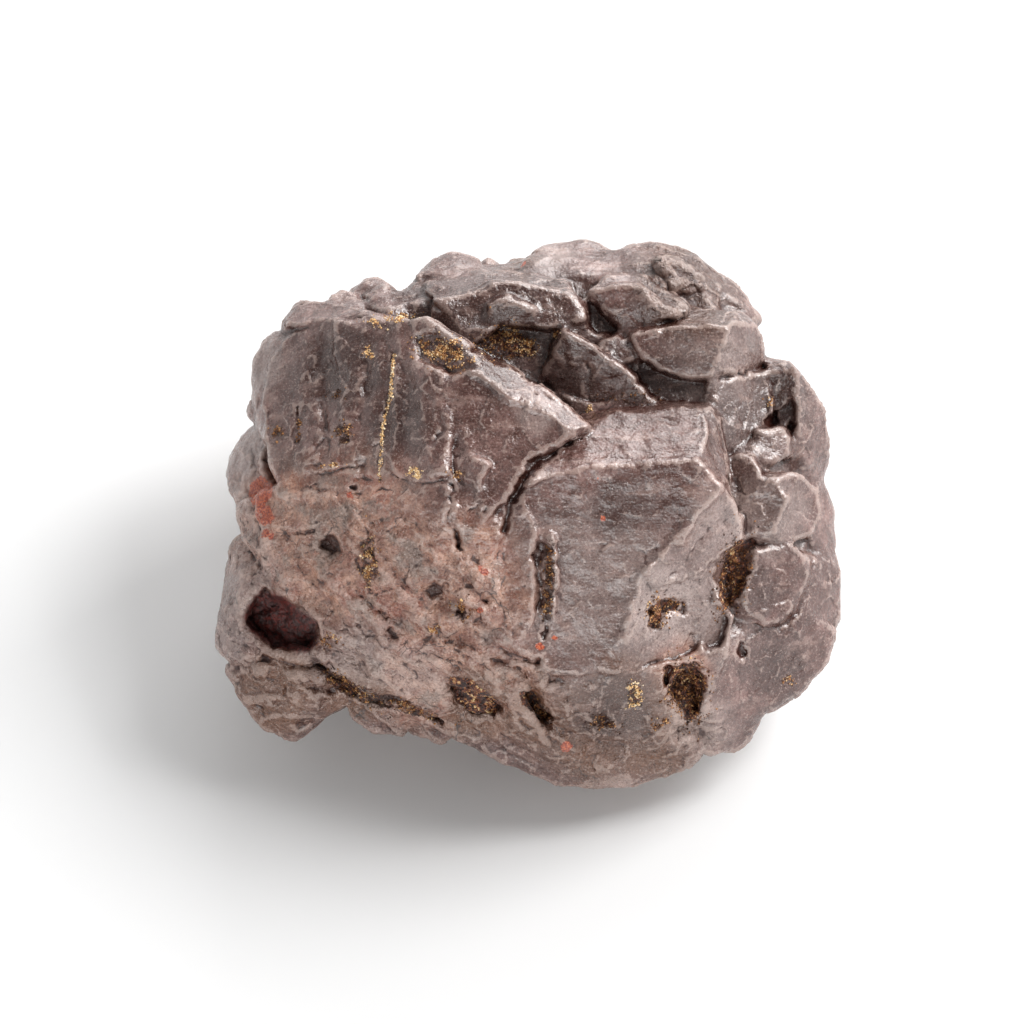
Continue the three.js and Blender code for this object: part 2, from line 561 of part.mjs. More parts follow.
function roughened(solid) {
  const mesh = solid.getMesh();
  const vertices = Array.from(
    { length: mesh.numVert },
    (_, i) => new THREE.Vector3(...mesh.vertProperties.subarray(i * mesh.numProp, i * mesh.numProp + 3)),
  );
  const coarse = Array.from({ length: mesh.numTri }, (_, i) => [
    ...mesh.triVerts.subarray(i * 3, i * 3 + 3),
  ]);
  const shell = outerShell(coarse, vertices.length);
  const triangles = refined(vertices, closedUp(vertices, shell, MIN_EDGE), MAX_EDGE);
  const normals = vertexNormals(vertices, triangles);
  vertices.forEach((p, i) => p.addScaledVector(normals[i], ROUGH_AMPLITUDE * wander(p)));
  return new wasm.Manifold(
    new wasm.Mesh({
      numProp: 3,
      vertProperties: new Float32Array(vertices.flatMap((p) => p.toArray())),
      triVerts: new Uint32Array(triangles.flat()),
    }),
  );
}

// ---- The stone ----

function stoneSolid() {
  const grown = [
    ...Object.values(CRYSTALS).map((corners) => crystal(corners.map(show))),
    ...hiddenCrystals(HIDDEN.large),
    ...hiddenCrystals(HIDDEN.small),
  ].reduce((joined, next) => joined.add(next), coreSolid());
  const cut = [
    ...Object.values(PITS).map(pit),
    ...Object.values(CRACKS).flatMap(crack),
    ...hiddenPits(HIDDEN.pits),
  ].reduce((left, next) => left.subtract(next), grown);
  const { side, height } = BELOW;
  const below = solidOf(new THREE.BoxGeometry(side, side, height).translate(0, 0, -height / 2));
  return roughened(cut).subtract(below);
}

function geometryOf(solid) {
  const mesh = solid.getMesh();
  return new THREE.BufferGeometry()
    .setAttribute("position", new THREE.BufferAttribute(mesh.vertProperties, mesh.numProp))
    .setIndex(new THREE.BufferAttribute(mesh.triVerts, 1));
}

const ironOxide = new THREE.MeshStandardMaterial({
  color: new THREE.Color(0.17, 0.13, 0.12),
  roughness: 0.6,
  metalness: 0.1,
  flatShading: true,
});

const stone = new THREE.Mesh(geometryOf(stoneSolid()), ironOxide);
stone.name = "stone";

const part = new THREE.Group();
part.add(stone);

export default part;
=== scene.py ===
"""The looks of a prophecy stone: intergrown iron-oxide crystals, weathered and pitted, with sand in the
hollows.

Everything that shapes the stone is worked out in millimetres, in numpy, and written to Blender in metres.
The best face is measured in the show frame: u to the right, v up along the face, w out of it.
"""

import itertools
import math

import bmesh
import bpy
import numpy as np
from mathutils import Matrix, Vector
from mathutils.bvhtree import BVHTree


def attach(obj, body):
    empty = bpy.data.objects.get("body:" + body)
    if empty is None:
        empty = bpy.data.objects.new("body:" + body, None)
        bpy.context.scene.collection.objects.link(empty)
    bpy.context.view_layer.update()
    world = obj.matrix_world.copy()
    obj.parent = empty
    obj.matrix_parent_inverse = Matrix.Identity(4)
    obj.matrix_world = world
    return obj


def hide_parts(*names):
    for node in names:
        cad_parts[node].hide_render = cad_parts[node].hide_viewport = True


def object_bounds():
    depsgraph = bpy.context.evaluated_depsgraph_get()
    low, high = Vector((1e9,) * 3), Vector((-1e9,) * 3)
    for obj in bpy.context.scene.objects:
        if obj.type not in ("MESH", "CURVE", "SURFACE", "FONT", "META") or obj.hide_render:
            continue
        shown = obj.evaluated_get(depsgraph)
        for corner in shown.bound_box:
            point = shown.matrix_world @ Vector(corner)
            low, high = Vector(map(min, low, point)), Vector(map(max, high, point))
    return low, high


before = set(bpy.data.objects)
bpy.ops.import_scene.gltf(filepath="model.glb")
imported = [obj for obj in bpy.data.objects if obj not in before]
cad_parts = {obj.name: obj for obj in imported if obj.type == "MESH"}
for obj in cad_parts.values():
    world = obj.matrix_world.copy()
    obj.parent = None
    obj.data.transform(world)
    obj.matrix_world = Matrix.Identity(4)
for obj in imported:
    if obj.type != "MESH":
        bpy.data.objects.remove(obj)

CAD_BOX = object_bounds()

# ---- Sizes, in millimetres ----

MM = 0.001  # metres
LEAN = math.radians(60)  # how far above level the best face looks
MIDDLE = np.array([0.0, 0.0, 16.5])
SHOW_AXES = np.array(
    [
        [1.0, 0.0, 0.0],
        [0.0, math.sin(LEAN), math.cos(LEAN)],
        [0.0, -math.cos(LEAN), math.sin(LEAN)],
    ]
)

FIRST_VOXEL = 0.22  # grid that the crystals are fused on
VOXEL = 0.18  # and the grid of the finished skin
MOST_TRIANGLES = 192000
SHOWN_THINNING = 0.55  # how readily the best face loses triangles, beside the hidden sides
FIRST_WEAR = 12  # passes of wear on the crystals, before the faces are cut
HIDDEN_WEAR = 4  # fewer on the hidden sides, which keep sharper crystals
WEAR_PASSES = 2  # and on the skin, after
VALLEY_WEAR = 0.35  # how much less a valley is worn than an edge


# ---- Noise ----


class Noise:
    """Gradient noise at points, one wave per unit length, about -0.7 to 0.7."""

    SIZE = 256

    def __init__(self, seed):
        rng = np.random.default_rng(seed)
        self.order = rng.permutation(self.SIZE)
        slopes = rng.normal(size=(self.SIZE, 3))
        self.slopes = slopes / np.linalg.norm(slopes, axis=1, keepdims=True)

    def cell_number(self, cells):
        number = 0
        for axis in range(3):
            number = self.order[(number + cells[:, axis]) % self.SIZE]
        return number

    def __call__(self, points):
        cell = np.floor(points).astype(int)
        inside = points - cell
        fade = inside**3 * (inside * (inside * 6 - 15) + 10)
        total = np.zeros(len(points))
        for corner in itertools.product((0, 1), repeat=3):
            slope = self.slopes[self.cell_number(cell + corner)]
            weight = np.prod(np.where(corner, fade, 1 - fade), axis=1)
            total += weight * np.einsum("ij,ij->i", slope, inside - corner)
        return total


def facets(points, size, seed):
    """Small flat faces at chance slopes: each point takes the slope of the nearest of scattered middles."""
    noise = Noise(seed)
    rng = np.random.default_rng(seed)
    jitter = rng.uniform(0, 1, size=(Noise.SIZE, 3))
    scaled = points / size
    cell = np.floor(scaled).astype(int)
    nearest = np.full(len(points), np.inf)
    height = np.zeros(len(points))
    for step in itertools.product((-1, 0, 1), repeat=3):
        number = noise.cell_number(cell + step)
        away = scaled - (cell + step + jitter[number])
        distance = np.einsum("ij,ij->i", away, away)
        closer = distance < nearest
        nearest[closer] = distance[closer]
        height[closer] = np.einsum("ij,ij->i", away[closer], noise.slopes[number[closer]])
    return height * size


def smoothstep(low, high, values):
    share = np.clip((values - low) / (high - low), 0, 1)
    return share * share * (3 - 2 * share)


# ---- The stone's skin as arrays ----


class Skin:
    """A closed mesh as arrays: its points in millimetres, and its triangles."""

    def __init__(self, mesh):
        mesh.calc_loop_triangles()
        self.points = np.zeros(len(mesh.vertices) * 3)
        mesh.vertices.foreach_get("co", self.points)
        self.points = self.points.reshape(-1, 3) / MM
        self.triangles = np.zeros(len(mesh.loop_triangles) * 3, int)
        mesh.loop_triangles.foreach_get("vertices", self.triangles)
        self.triangles = self.triangles.reshape(-1, 3)
        edges = np.zeros(len(mesh.edges) * 2, int)
        mesh.edges.foreach_get("vertices", edges)
        self.edges = edges.reshape(-1, 2)
        both = np.concatenate([self.edges, self.edges[:, ::-1]])
        self.near, self.far = both[:, 0], both[:, 1]
        self.degree = np.bincount(self.near, minlength=len(self.points))

    def sum_on(self, index, values):
        return np.stack(
            [np.bincount(index, values[:, k], len(self.points)) for k in range(values.shape[1])], axis=1
        )

    def around(self, values):
        """The mean of each point's neighbours."""
        flat = values.reshape(len(self.points), -1)
        return (self.sum_on(self.near, flat[self.far]) / self.degree[:, None]).reshape(values.shape)

    def smoothed(self, values, passes):
        for _ in range(passes):
            values = (values + self.around(values)) / 2
        return values

    def normals(self):
        corners = self.points[self.triangles]
        facet = np.cross(corners[:, 1] - corners[:, 0], corners[:, 2] - corners[:, 0])
        total = sum(self.sum_on(self.triangles[:, k], facet) for k in range(3))
        return total / np.maximum(np.linalg.norm(total, axis=1, keepdims=True), 1e-12)

    def push(self, heights):
        self.points += self.normals() * heights[:, None]

    def wear(self, passes):
        """Rounds the edges, and the valleys less."""
        for _ in range(passes):
            step = self.around(self.points) - self.points
            inward = np.einsum("ij,ij->i", step, self.normals()) < 0
            self.points += step * np.where(inward, 0.6, 0.6 * VALLEY_WEAR)[:, None]

    def bulge(self, passes):
        """How far each point stands out of its surroundings: the more passes, the wider they are."""
        return np.einsum("ij,ij->i", self.points - self.smoothed(self.points, passes), self.normals())

    def show(self):
        """The points in the show frame, and how squarely each faces out of it."""
        return (self.points - MIDDLE) @ SHOW_AXES.T, self.normals() @ SHOW_AXES[2]


# ---- Features of the best face, in the show frame ----

# The flat faces of the best face's crystals: corners u, v, w. A later face lies over an earlier one.
FACES = {
    # along the top
    "peak_left": [(-9.4, 19, -0.4), (-7.8, 20.7, -2.8), (-7.2, 20.2, -1.6), (-7, 19, 0.8)],
    "peak_right": [(-7.3, 20.2, -1.5), (-6, 20.9, -2), (-4.4, 20.3, -1.6), (-5.2, 19.1, 0.6),
        (-7, 19.1, 0.8)],
    "knob": [(-13.2, 17.4, 0.4), (-12, 18.3, -0.4), (-7, 18.7, 0.6), (-7.8, 17.5, 2),
        (-11.4, 16.6, 2.2)],
    "knob_left": [(-16.2, 17.2, -0.6), (-14.8, 18, -1.4), (-13.8, 17.2, 0), (-14.6, 16.8, 0.6)],
    "shelf": [(-16.8, 15.6, 5), (-11.4, 15.4, 7), (-13.4, 16.4, 3.2), (-16.5, 17, 0.6),
        (-18.2, 17, -1.4), (-19.4, 14.8, 1.4)],
    "crest_top": [(-7.8, 17.6, 4.6), (-6.6, 18.9, 1.2), (-0.4, 19.3, 1.4), (3.2, 18.7, 1.6),
        (3.6, 18, 4.6), (-2.2, 18.5, 5.4)],
    "crest_front": [(-7.6, 17.2, 5.2), (-2.2, 18.4, 6.2), (3.2, 17.9, 5.6), (4.8, 15.9, 5.2),
        (2.6, 14.9, 5.6), (-1.5, 15.2, 6.6), (-5.4, 14.9, 6.6)],
    "crest_bump": [(-3.2, 17, 7), (-1.6, 17.4, 7.2), (0.4, 16.6, 7), (0.6, 14.9, 5.6), (-1.6, 14.8, 6),
        (-3.4, 15.4, 6.6)],
    "crest_end": [(-8.6, 18.4, 1.8), (-6.4, 18.8, 2.4), (-5.4, 17.9, 4.4), (-7.6, 17.1, 4.6)],
    "bay": [(10.4, 20.2, 1.7), (12.6, 20, 1.4), (13.9, 18.6, 0.6), (13.4, 17.2, 0.6), (11.6, 16.9, 1),
        (10.6, 18.2, 1.3)],
    "bay_right": [(15.2, 18.5, -1), (17, 17.3, -2), (17.9, 16, -1.8), (15.1, 16.2, -0.6)],
    "wedge_top": [(4.4, 18, 4), (6.6, 19.2, 1.6), (9.2, 19, 1.6), (12.6, 16.2, 3.2), (12.1, 15.7, 5.2),
        (9, 18.2, 5.2), (6.4, 18.5, 5)],
    "wedge_front": [(4.6, 17.9, 4.8), (6.6, 18.5, 5.4), (9, 18.2, 5.6), (12.1, 15.7, 5.6),
        (9.6, 14.9, 5.2), (7.4, 15.1, 4.8), (5.8, 16.9, 4.6)],
    "wedge_gap": [(4.7, 17, 3.6), (5.6, 16.6, 3.4), (7.2, 14.8, 3.4), (6.6, 14.2, 3.6),
        (5.4, 14.3, 3.6), (4.5, 15.4, 3.6)],
    # the dark valley and the small crystal in it
    "valley": [(-4.6, 13, 4.6), (-2.4, 15.2, 5), (1.2, 14.8, 4.4), (2.4, 14.9, 4), (1.6, 11.2, 4.4),
        (3, 8.9, 4.6), (0.6, 10.4, 4.4), (-2, 11.8, 4.6)],
    "valley_right": [(6.6, 14.2, 4.4), (8, 14.2, 4.8), (9.2, 12.6, 5.2), (8.6, 10.6, 5),
        (7, 12.2, 4.4)],
    "saddle": [(5.6, 13.3, 5.6), (7, 14.3, 5.2), (8.4, 13.2, 5.8), (8.8, 12.4, 5.6), (7.4, 11.8, 5.8)],
    "undercut": [(8.9, 12.7, 4.4), (10.4, 11.5, 4.4), (13, 10.8, 4.8), (14.2, 10.9, 5), (14, 8.9, 5.6),
        (10.4, 8.8, 5), (8.4, 10.6, 4.4)],
    "small_left": [(2.8, 14.7, 7.6), (1.1, 11, 5.2), (3, 9.5, 5), (4.7, 9, 5.4), (4.6, 13.6, 8.2)],
    "small_right": [(2.8, 14.7, 7.4), (4.6, 13.7, 8.2), (5.9, 13, 8.2), (8.5, 10.7, 6.2), (6.3, 8.7, 5),
        (4.7, 9, 5.4)],
    # the corner crystal
    "corner_top": [(7.8, 14.4, 5.4), (12.4, 16.2, 3), (16.8, 16.2, 2.2), (16.4, 15.2, 6.4),
        (12.2, 15, 7.2)],
    "corner_front": [(7.8, 14.3, 6), (12.2, 15, 7.4), (16.1, 15.3, 6.8), (15.8, 13.6, 6.8),
        (14.5, 11.1, 6.8), (12.8, 10.9, 6.8), (10.4, 11.6, 6.4), (8.8, 12.8, 5.9)],
    "corner_side": [(16.3, 15.4, 6.2), (18.3, 15.2, 2.4), (19, 13.6, 1.2), (18.7, 12, 1.8),
        (17.4, 11.4, 3.6), (15.6, 11.1, 5.8), (15, 11.5, 6.6), (15.8, 13.7, 6.6)],
    # the right flank
    "niche": [(14.8, 10.9, 6), (16.9, 11.2, 4), (19, 11.4, 2.4), (19.2, 7.4, 2.6), (17.2, 5.4, 4),
        (15.2, 5.2, 5.8)],
    "prow_front": [(19, 10.9, 2), (21.4, 11.9, 3), (21.2, 9.4, 2.4), (19.6, 8.3, 1.4)],
    "prow_foot": [(19.6, 8.3, 1), (21.2, 9.3, 1.4), (21.4, 6, 1.6), (20.8, 6.8, 1.6), (19.4, 7.2, 1.8)],
    "prow_side": [(21.4, 11.9, 2.8), (22.8, 10.2, 1.2), (24, 8.4, -1.2), (24.3, 4.8, -2.4),
        (22.3, 4, 1), (21.3, 7.6, 2.4)],
    "stub": [(18.2, 6.8, 4.2), (20.4, 7, 3.8), (21, 6.2, 3.2), (21, 4.7, 3.2), (18.8, 4.5, 4.6)],
    "flank_dark": [(15.9, 4.6, 5.4), (17.6, 4.8, 5.6), (18.7, 3, 6.4), (18.6, -1, 6.2), (17.5, -2, 5.6),
        (16.8, 0.4, 5.6), (16.2, 3, 5.4)],
    "lump_left": [(18.4, 2.4, 6.2), (19.6, 2.9, 6.4), (20.8, 1.4, 6.2), (19.6, -1.2, 6.2),
        (18.3, -2, 5.6)],
    "lump_right": [(19.6, 2.9, 6.2), (21.8, 3.5, 4.6), (23.2, 2.2, 2.6), (23.5, 0, 1.8),
        (22.5, -1.7, 2.8), (20.2, -2.3, 4.8), (19.6, -1.2, 5.8), (20.8, 1.4, 5.8)],
    "lobe": [(17.9, -2.8, 5.8), (20.4, -2.4, 5.2), (22, -2.8, 3.8), (22.5, -5, 3), (21.6, -7, 3.2),
        (20, -8.5, 3.8), (18.7, -8.9, 4.4), (17.5, -8, 5.2), (17.2, -6.2, 5.8), (17.8, -4.4, 6)],
    # the left slab
    "slab_a": [(-21.2, 8.6, 2.2), (-20.6, 12.6, 1.4), (-19.8, 13.9, 1), (-16.8, 15.4, 3),
        (-15.2, 15.3, 4.4), (-15, 3.8, 7.2), (-17.4, 3, 6.4), (-20, 2.6, 4.6), (-20.8, 4.4, 3.6)],
    "slab_b": [(-15.2, 15.3, 4.8), (-11.4, 14.5, 7.2), (-11, 12, 7.8), (-11.3, 2.9, 9.2),
        (-15, 3.6, 7.3)],
    "slab_c": [(-11.4, 14, 6.8), (-8.2, 15.6, 8.6), (-6.4, 13.8, 9.8), (-6.1, 3.2, 12),
        (-11.3, 2.9, 9.4)],
    "slab_tip": [(-6.4, 13.9, 9.6), (-4.6, 13, 10.2), (0.2, 10.8, 11.2), (4.9, 7.1, 11.8),
        (1.6, 4.9, 12.4), (-1.4, 1.4, 12.4), (-3.4, -0.4, 12.3), (-6, 2.6, 11.9)],
    "slab_bevel": [(-6, 13.6, 9), (-4.6, 13, 9.2), (0.2, 10.8, 10), (4.9, 7, 11), (3, 6.8, 12.2),
        (-1.4, 9.2, 12), (-5.2, 11.6, 10.9)],
    "slab_hollow": [(-9, 14, 7.8), (-7.4, 14.6, 8.6), (-4.6, 12.6, 9.6), (-4, 11.4, 10.2),
        (-6, 11.2, 9.4), (-8.8, 12, 7.9)],
    "fracture": [(-20.4, 2.6, 4.3), (-15, 3.4, 7), (-11.3, 2.9, 9), (-6.1, 3, 11.6), (-6, 1.4, 12.1),
        (-12, 1.3, 9), (-19.9, 1.3, 5)],
    "chip_a": [(-4.5, 4.7, 12.3), (-2.9, 4, 12.9), (-3.7, 2.1, 12.7), (-5, 3, 12.1)],
    "chip_b": [(-5.9, 2.8, 11.6), (-4.2, 2.7, 11.9), (-4, 0.5, 12), (-5.5, 0.2, 11.8)],
    # the large cube
    "ledge": [(5, 6.9, 9.4), (6.2, 8, 7.6), (9, 8.3, 7.4), (13.9, 8.8, 7), (14.5, 6.4, 9),
        (13.4, 4.6, 11), (9.8, 4.3, 12), (5.4, 4, 12.4), (1.5, 2.8, 12.8), (-0.4, 2.4, 12.8),
        (0.6, 4, 11.8), (2, 5.2, 10.8), (3.8, 6.2, 10)],
    "cube_side": [(14.1, 8.8, 7), (15.2, 8.4, 6), (15.4, 5, 7), (16.2, 2.6, 7.6), (15.2, 2.2, 10.4),
        (13.6, 4.7, 10.8), (14.5, 6.6, 8.8)],
    "cube_front": [(-1.8, 1.4, 12), (-0.4, 2.3, 12.6), (5.4, 3.8, 12.6), (9.8, 4.1, 12.2),
        (13.4, 4.4, 11.4), (15.3, 2.2, 10.8), (12.2, -2, 11), (9, -4.4, 10.8), (7.8, -8, 10.2),
        (7.2, -12.4, 9), (2, -12.6, 9.2), (-1.6, -10, 9.8), (-1.8, -4, 11.2)],
    "cube_bevel": [(-1.9, 0.8, 11.6), (-0.4, 2, 12.4), (0.6, -1.6, 12.2), (0.4, -8.4, 10.8),
        (-0.6, -10, 10.2), (-1.9, -9.6, 9.6), (-2, -4, 10.8)],
    "cube_right": [(15.3, 2.2, 10.4), (17, 0.5, 7.8), (16.9, -2, 7), (15, -3.3, 7.8), (13, -4.5, 8.8),
        (9.8, -5.7, 10.1), (9, -4.4, 10.8), (12.2, -2, 10.8)],
    "cube_low": [(9, -4.6, 10.4), (9.9, -5.7, 9.7), (13, -4.6, 8.2), (15, -3.5, 7), (14.7, -6, 6.6),
        (14.4, -9, 5.8), (13.4, -10.8, 5.8), (10.4, -12, 7.4), (7.4, -12.4, 8.8), (7.8, -8, 10)],
    "pale_lobe": [(13.2, -6.6, 7.2), (15, -7, 6.6), (16, -8.2, 5.4), (15.4, -10.4, 5),
        (14.2, -10.7, 5.6), (13.2, -9.4, 6.8)],
    "slot": [(0.7, -2, 11.3), (2.3, -1.9, 12.1), (2.5, -5.4, 11.5), (2, -8.6, 10.5), (0.8, -8.6, 9.7),
        (0.5, -5, 10.5)],
    # hollows
    "hole": [(-21.4, -6, 0.8), (-19.4, -6.5, 1.8), (-16.8, -8.4, 2.6), (-16.7, -10.2, 2.4),
        (-17.8, -11.1, 1.6), (-20.4, -10.7, 0.6), (-22.2, -9.4, -0.4), (-22.8, -8.2, -0.6),
        (-22.4, -7.2, -0.2)],
    "deep_pit": [(16.8, -1.9, 4.8), (18.2, -1.8, 4.9), (18.1, -2.6, 4.7), (17.1, -3, 4.5),
        (17.6, -4.8, 4.2), (17.4, -6, 4), (16.6, -6.8, 4), (15.5, -7.6, 4.2), (15.1, -6.6, 4.4),
        (15.4, -4.4, 4.6), (15.9, -3, 4.8)],
    "grain_pit": [(11.5, -12, 4.8), (13, -11.6, 4.2), (14, -12.6, 3.2), (13.9, -14.4, 2.4),
        (13.4, -16.2, 1.8), (12.5, -16.5, 2), (12.1, -14.8, 3.2), (11, -14, 4.2)],
    "hook": [(9.4, -8.8, 7.8), (9.6, -7.3, 8.2), (10.6, -6.7, 8), (12.2, -7, 7.4), (12, -7.7, 7.2),
        (10.8, -7.8, 7.6), (10.2, -9, 7.4)],
    "lower_slot": [(-0.8, -13.9, 4.6), (0.3, -14, 4.8), (1.4, -15.5, 4), (1.8, -16.6, 3.4),
        (1, -16.2, 3.4), (-0.5, -15, 4)],
    "brown_hollow": [(-6.4, -12.9, 4.8), (-4.4, -13, 5.2), (-2.2, -14.8, 4), (-2.4, -15.8, 3.2),
        (-4.2, -15.9, 2.6), (-5.8, -14.8, 3.4)],
}
# The faces that are floors of hollows, with ragged edges and uneven.
HOLLOWS = ("hole", "deep_pit", "grain_pit", "hook", "lower_slot", "brown_hollow", "slot", "bay")
FACE_EDGE = 0.13  # how far a face's edge is blended
FACE_REACH = 2.6  # how far under a face a point is still its own
FACE_FACING = -0.25  # and how far away from the view it may face
COARSE_WANDER, FINE_WANDER = 2.4, 0.7  # wavelengths of the wandering of a feature's edge
STRAIGHT, RAGGED, CARVED = (0.5, 0.2), (0.9, 0.8), (0.6, 0.4)  # how far a face, hollow or line wanders
FLOOR_WAVES = [(36, 1.6, 0.9), (37, 0.7, 0.5)]  # the uneven floors of hollows: seed, wavelength, height
OPENING_SEED, OPENING_LENGTH = 35, 1.7  # where a crack opens and closes along its length

# A pit: middle u, v; half width, half length; depth; turn in degrees.
PITS = {
    "round_pit": (-15.7, -2.2, 1.1, 0.95, 0.65, -10),
    "pit_by_slot": (-7.4, -5.8, 0.9, 0.85, 0.5, 0),
    "small_deep_pit": (-5.3, -7.8, 0.65, 0.8, 0.7, 20),
    "upper_twin": (-11.4, -7.8, 0.5, 0.9, 0.5, 30),
    "lower_twin": (-10.8, -9.6, 0.6, 0.8, 0.45, 35),
    "red_pit": (-13.8, 2.2, 0.5, 0.4, 0.5, 0),
    "bottom_pit": (5.8, -16.4, 1, 0.6, 0.5, -10),
    "side_pit": (17, -10.9, 0.6, 0.7, 0.6, 0),
    "rim_pit": (-21, -3.2, 0.5, 0.6, 0.5, 0),
    "niche_pit": (19.4, 7.6, 0.6, 0.8, 0.8, 0),
    "prow_pit": (21, 6.8, 0.5, 0.7, 0.6, 0),
    "slot_foot": (1.1, -9.4, 0.35, 0.8, 0.4, 0),
    "chip_pit": (-3.3, 0.4, 0.25, 0.25, 0.3, 0),
    "foot_pit": (-18.2, -16.6, 0.7, 0.5, 0.5, 0),
}

# A gap between crystals: its points u, v; its half width and depth.
GAPS = {
    "slab_tip": ([(4.9, 6.9), (3.6, 6), (2, 5)], 0.35, 0.5),
    "slab_side": ([(2, 5), (0.8, 4.2), (-0.4, 2.9), (-1.1, 1.4)], 0.6, 0.9),
    "slab_low": ([(-1.1, 1.4), (-1.5, 0.2), (-2, -1.2)], 0.4, 0.5),
    "foot": ([(-17, -11.6), (-15.8, -12.8), (-14.2, -13.8), (-12, -14.6), (-10.4, -14.8)], 0.6, 0.9),
}

# A crack, in the same way.
CRACKS = {
    "slab_fold_a": ([(-6.3, 11.8), (-6.1, 7.6), (-5.7, 3.2)], 1, 0.4),
    "slab_fold_b": ([(-13, 13.2), (-12.6, 9.2), (-13.3, 6), (-12.8, 2.8)], 0.9, 0.35),
    "slab_fold_c": ([(-16.1, 13.2), (-16.2, 9.2), (-15.8, 6), (-16.8, 3.6)], 0.9, 0.35),
    "slab_fold_d": ([(-9.8, 12), (-9.4, 9.2), (-9.6, 6), (-9, 3.6)], 0.8, 0.3),
    "cube_fold": ([(15.4, -0.4), (13, -2.4), (11, -4.8)], 1, 0.35),
    "cube_left": ([(-1.9, -0.6), (-2.1, -3), (-2.1, -6), (-1.9, -8.6)], 0.4, 0.4),
    "gold_vein": ([(-10.6, 12.8), (-10.8, 11), (-10.9, 9.4), (-11.5, 7.2), (-11.6, 5.6), (-11.8, 2.6)],
        0.25, 0.3),
    "upright": ([(-6.2, 2.4), (-6.1, -0.4), (-5.6, -1.6), (-5.4, -2.8)], 0.4, 0.8),
    "upright_branch": ([(-5.6, -0.6), (-4.6, 0.4), (-3.9, 1.2)], 0.25, 0.4),
    "slab_slant": ([(-19.2, 3.6), (-17.6, 4.6), (-16.4, 5.8), (-15.6, 7.4)], 0.3, 0.3),
    "slab_dash": ([(-13.4, 4.8), (-12.6, 5.2), (-11.8, 5.6)], 0.3, 0.35),
    "slab_slit": ([(-18.3, 8.4), (-18.2, 7), (-18.3, 5.8)], 0.3, 0.45),
    "slab_mark": ([(-15.2, 9.6), (-15, 7.8), (-15.4, 6.6)], 0.3, 0.25),
    "slab_mid": ([(-7.4, 5.4), (-6.6, 7), (-6.2, 8.6)], 0.35, 0.35),
    "slab_low": ([(-18.2, 3.1), (-15.6, 3.3), (-13.4, 3.9), (-11.2, 3), (-8, 2.6)], 0.3, 0.35),
    "slab_foot": ([(-20, 1.9), (-17, 2), (-13, 1.6), (-9.4, 2.1), (-6.4, 2.9)], 0.3, 0.3),
    "cube_nick": ([(15.6, 0.4), (14.6, -0.4), (13.6, -1.4)], 0.2, 0.25),
    "cube_foot": ([(1.4, -13.2), (5, -12.9), (9, -12), (12, -11.3)], 0.35, 0.35),
    "small_line": ([(4.6, 11.8), (4.7, 10.4), (4.7, 9.2)], 0.35, 0.5),
    "strata_line": ([(-3.4, -9.8), (-1.8, -10.8), (0.8, -11.8)], 0.45, 0.7),
    "red_groove": ([(-4, -3.6), (-3.6, -5.4), (-3, -6.8)], 0.7, 0.6),
    "foot_groove": ([(-10.4, -14.8), (-8.8, -15.9), (-5.6, -16.8)], 0.5, 0.7),
    "foot_line": ([(-23.6, -11.9), (-21, -11.7), (-17.2, -12)], 0.4, 0.5),
    "lobe_gap": ([(18.2, -2.4), (20.4, -2.1), (22.4, -2.2)], 0.4, 0.3),
    "lobe_foot": ([(17.4, -8.2), (18.8, -9.1), (20.4, -8.5), (21.8, -7), (22.7, -5), (22.5, -2.6)],
        0.45, 0.35),
    "niche_line": ([(15, 10.9), (16.4, 11.1), (18.8, 11.9)], 0.35, 0.7),
}

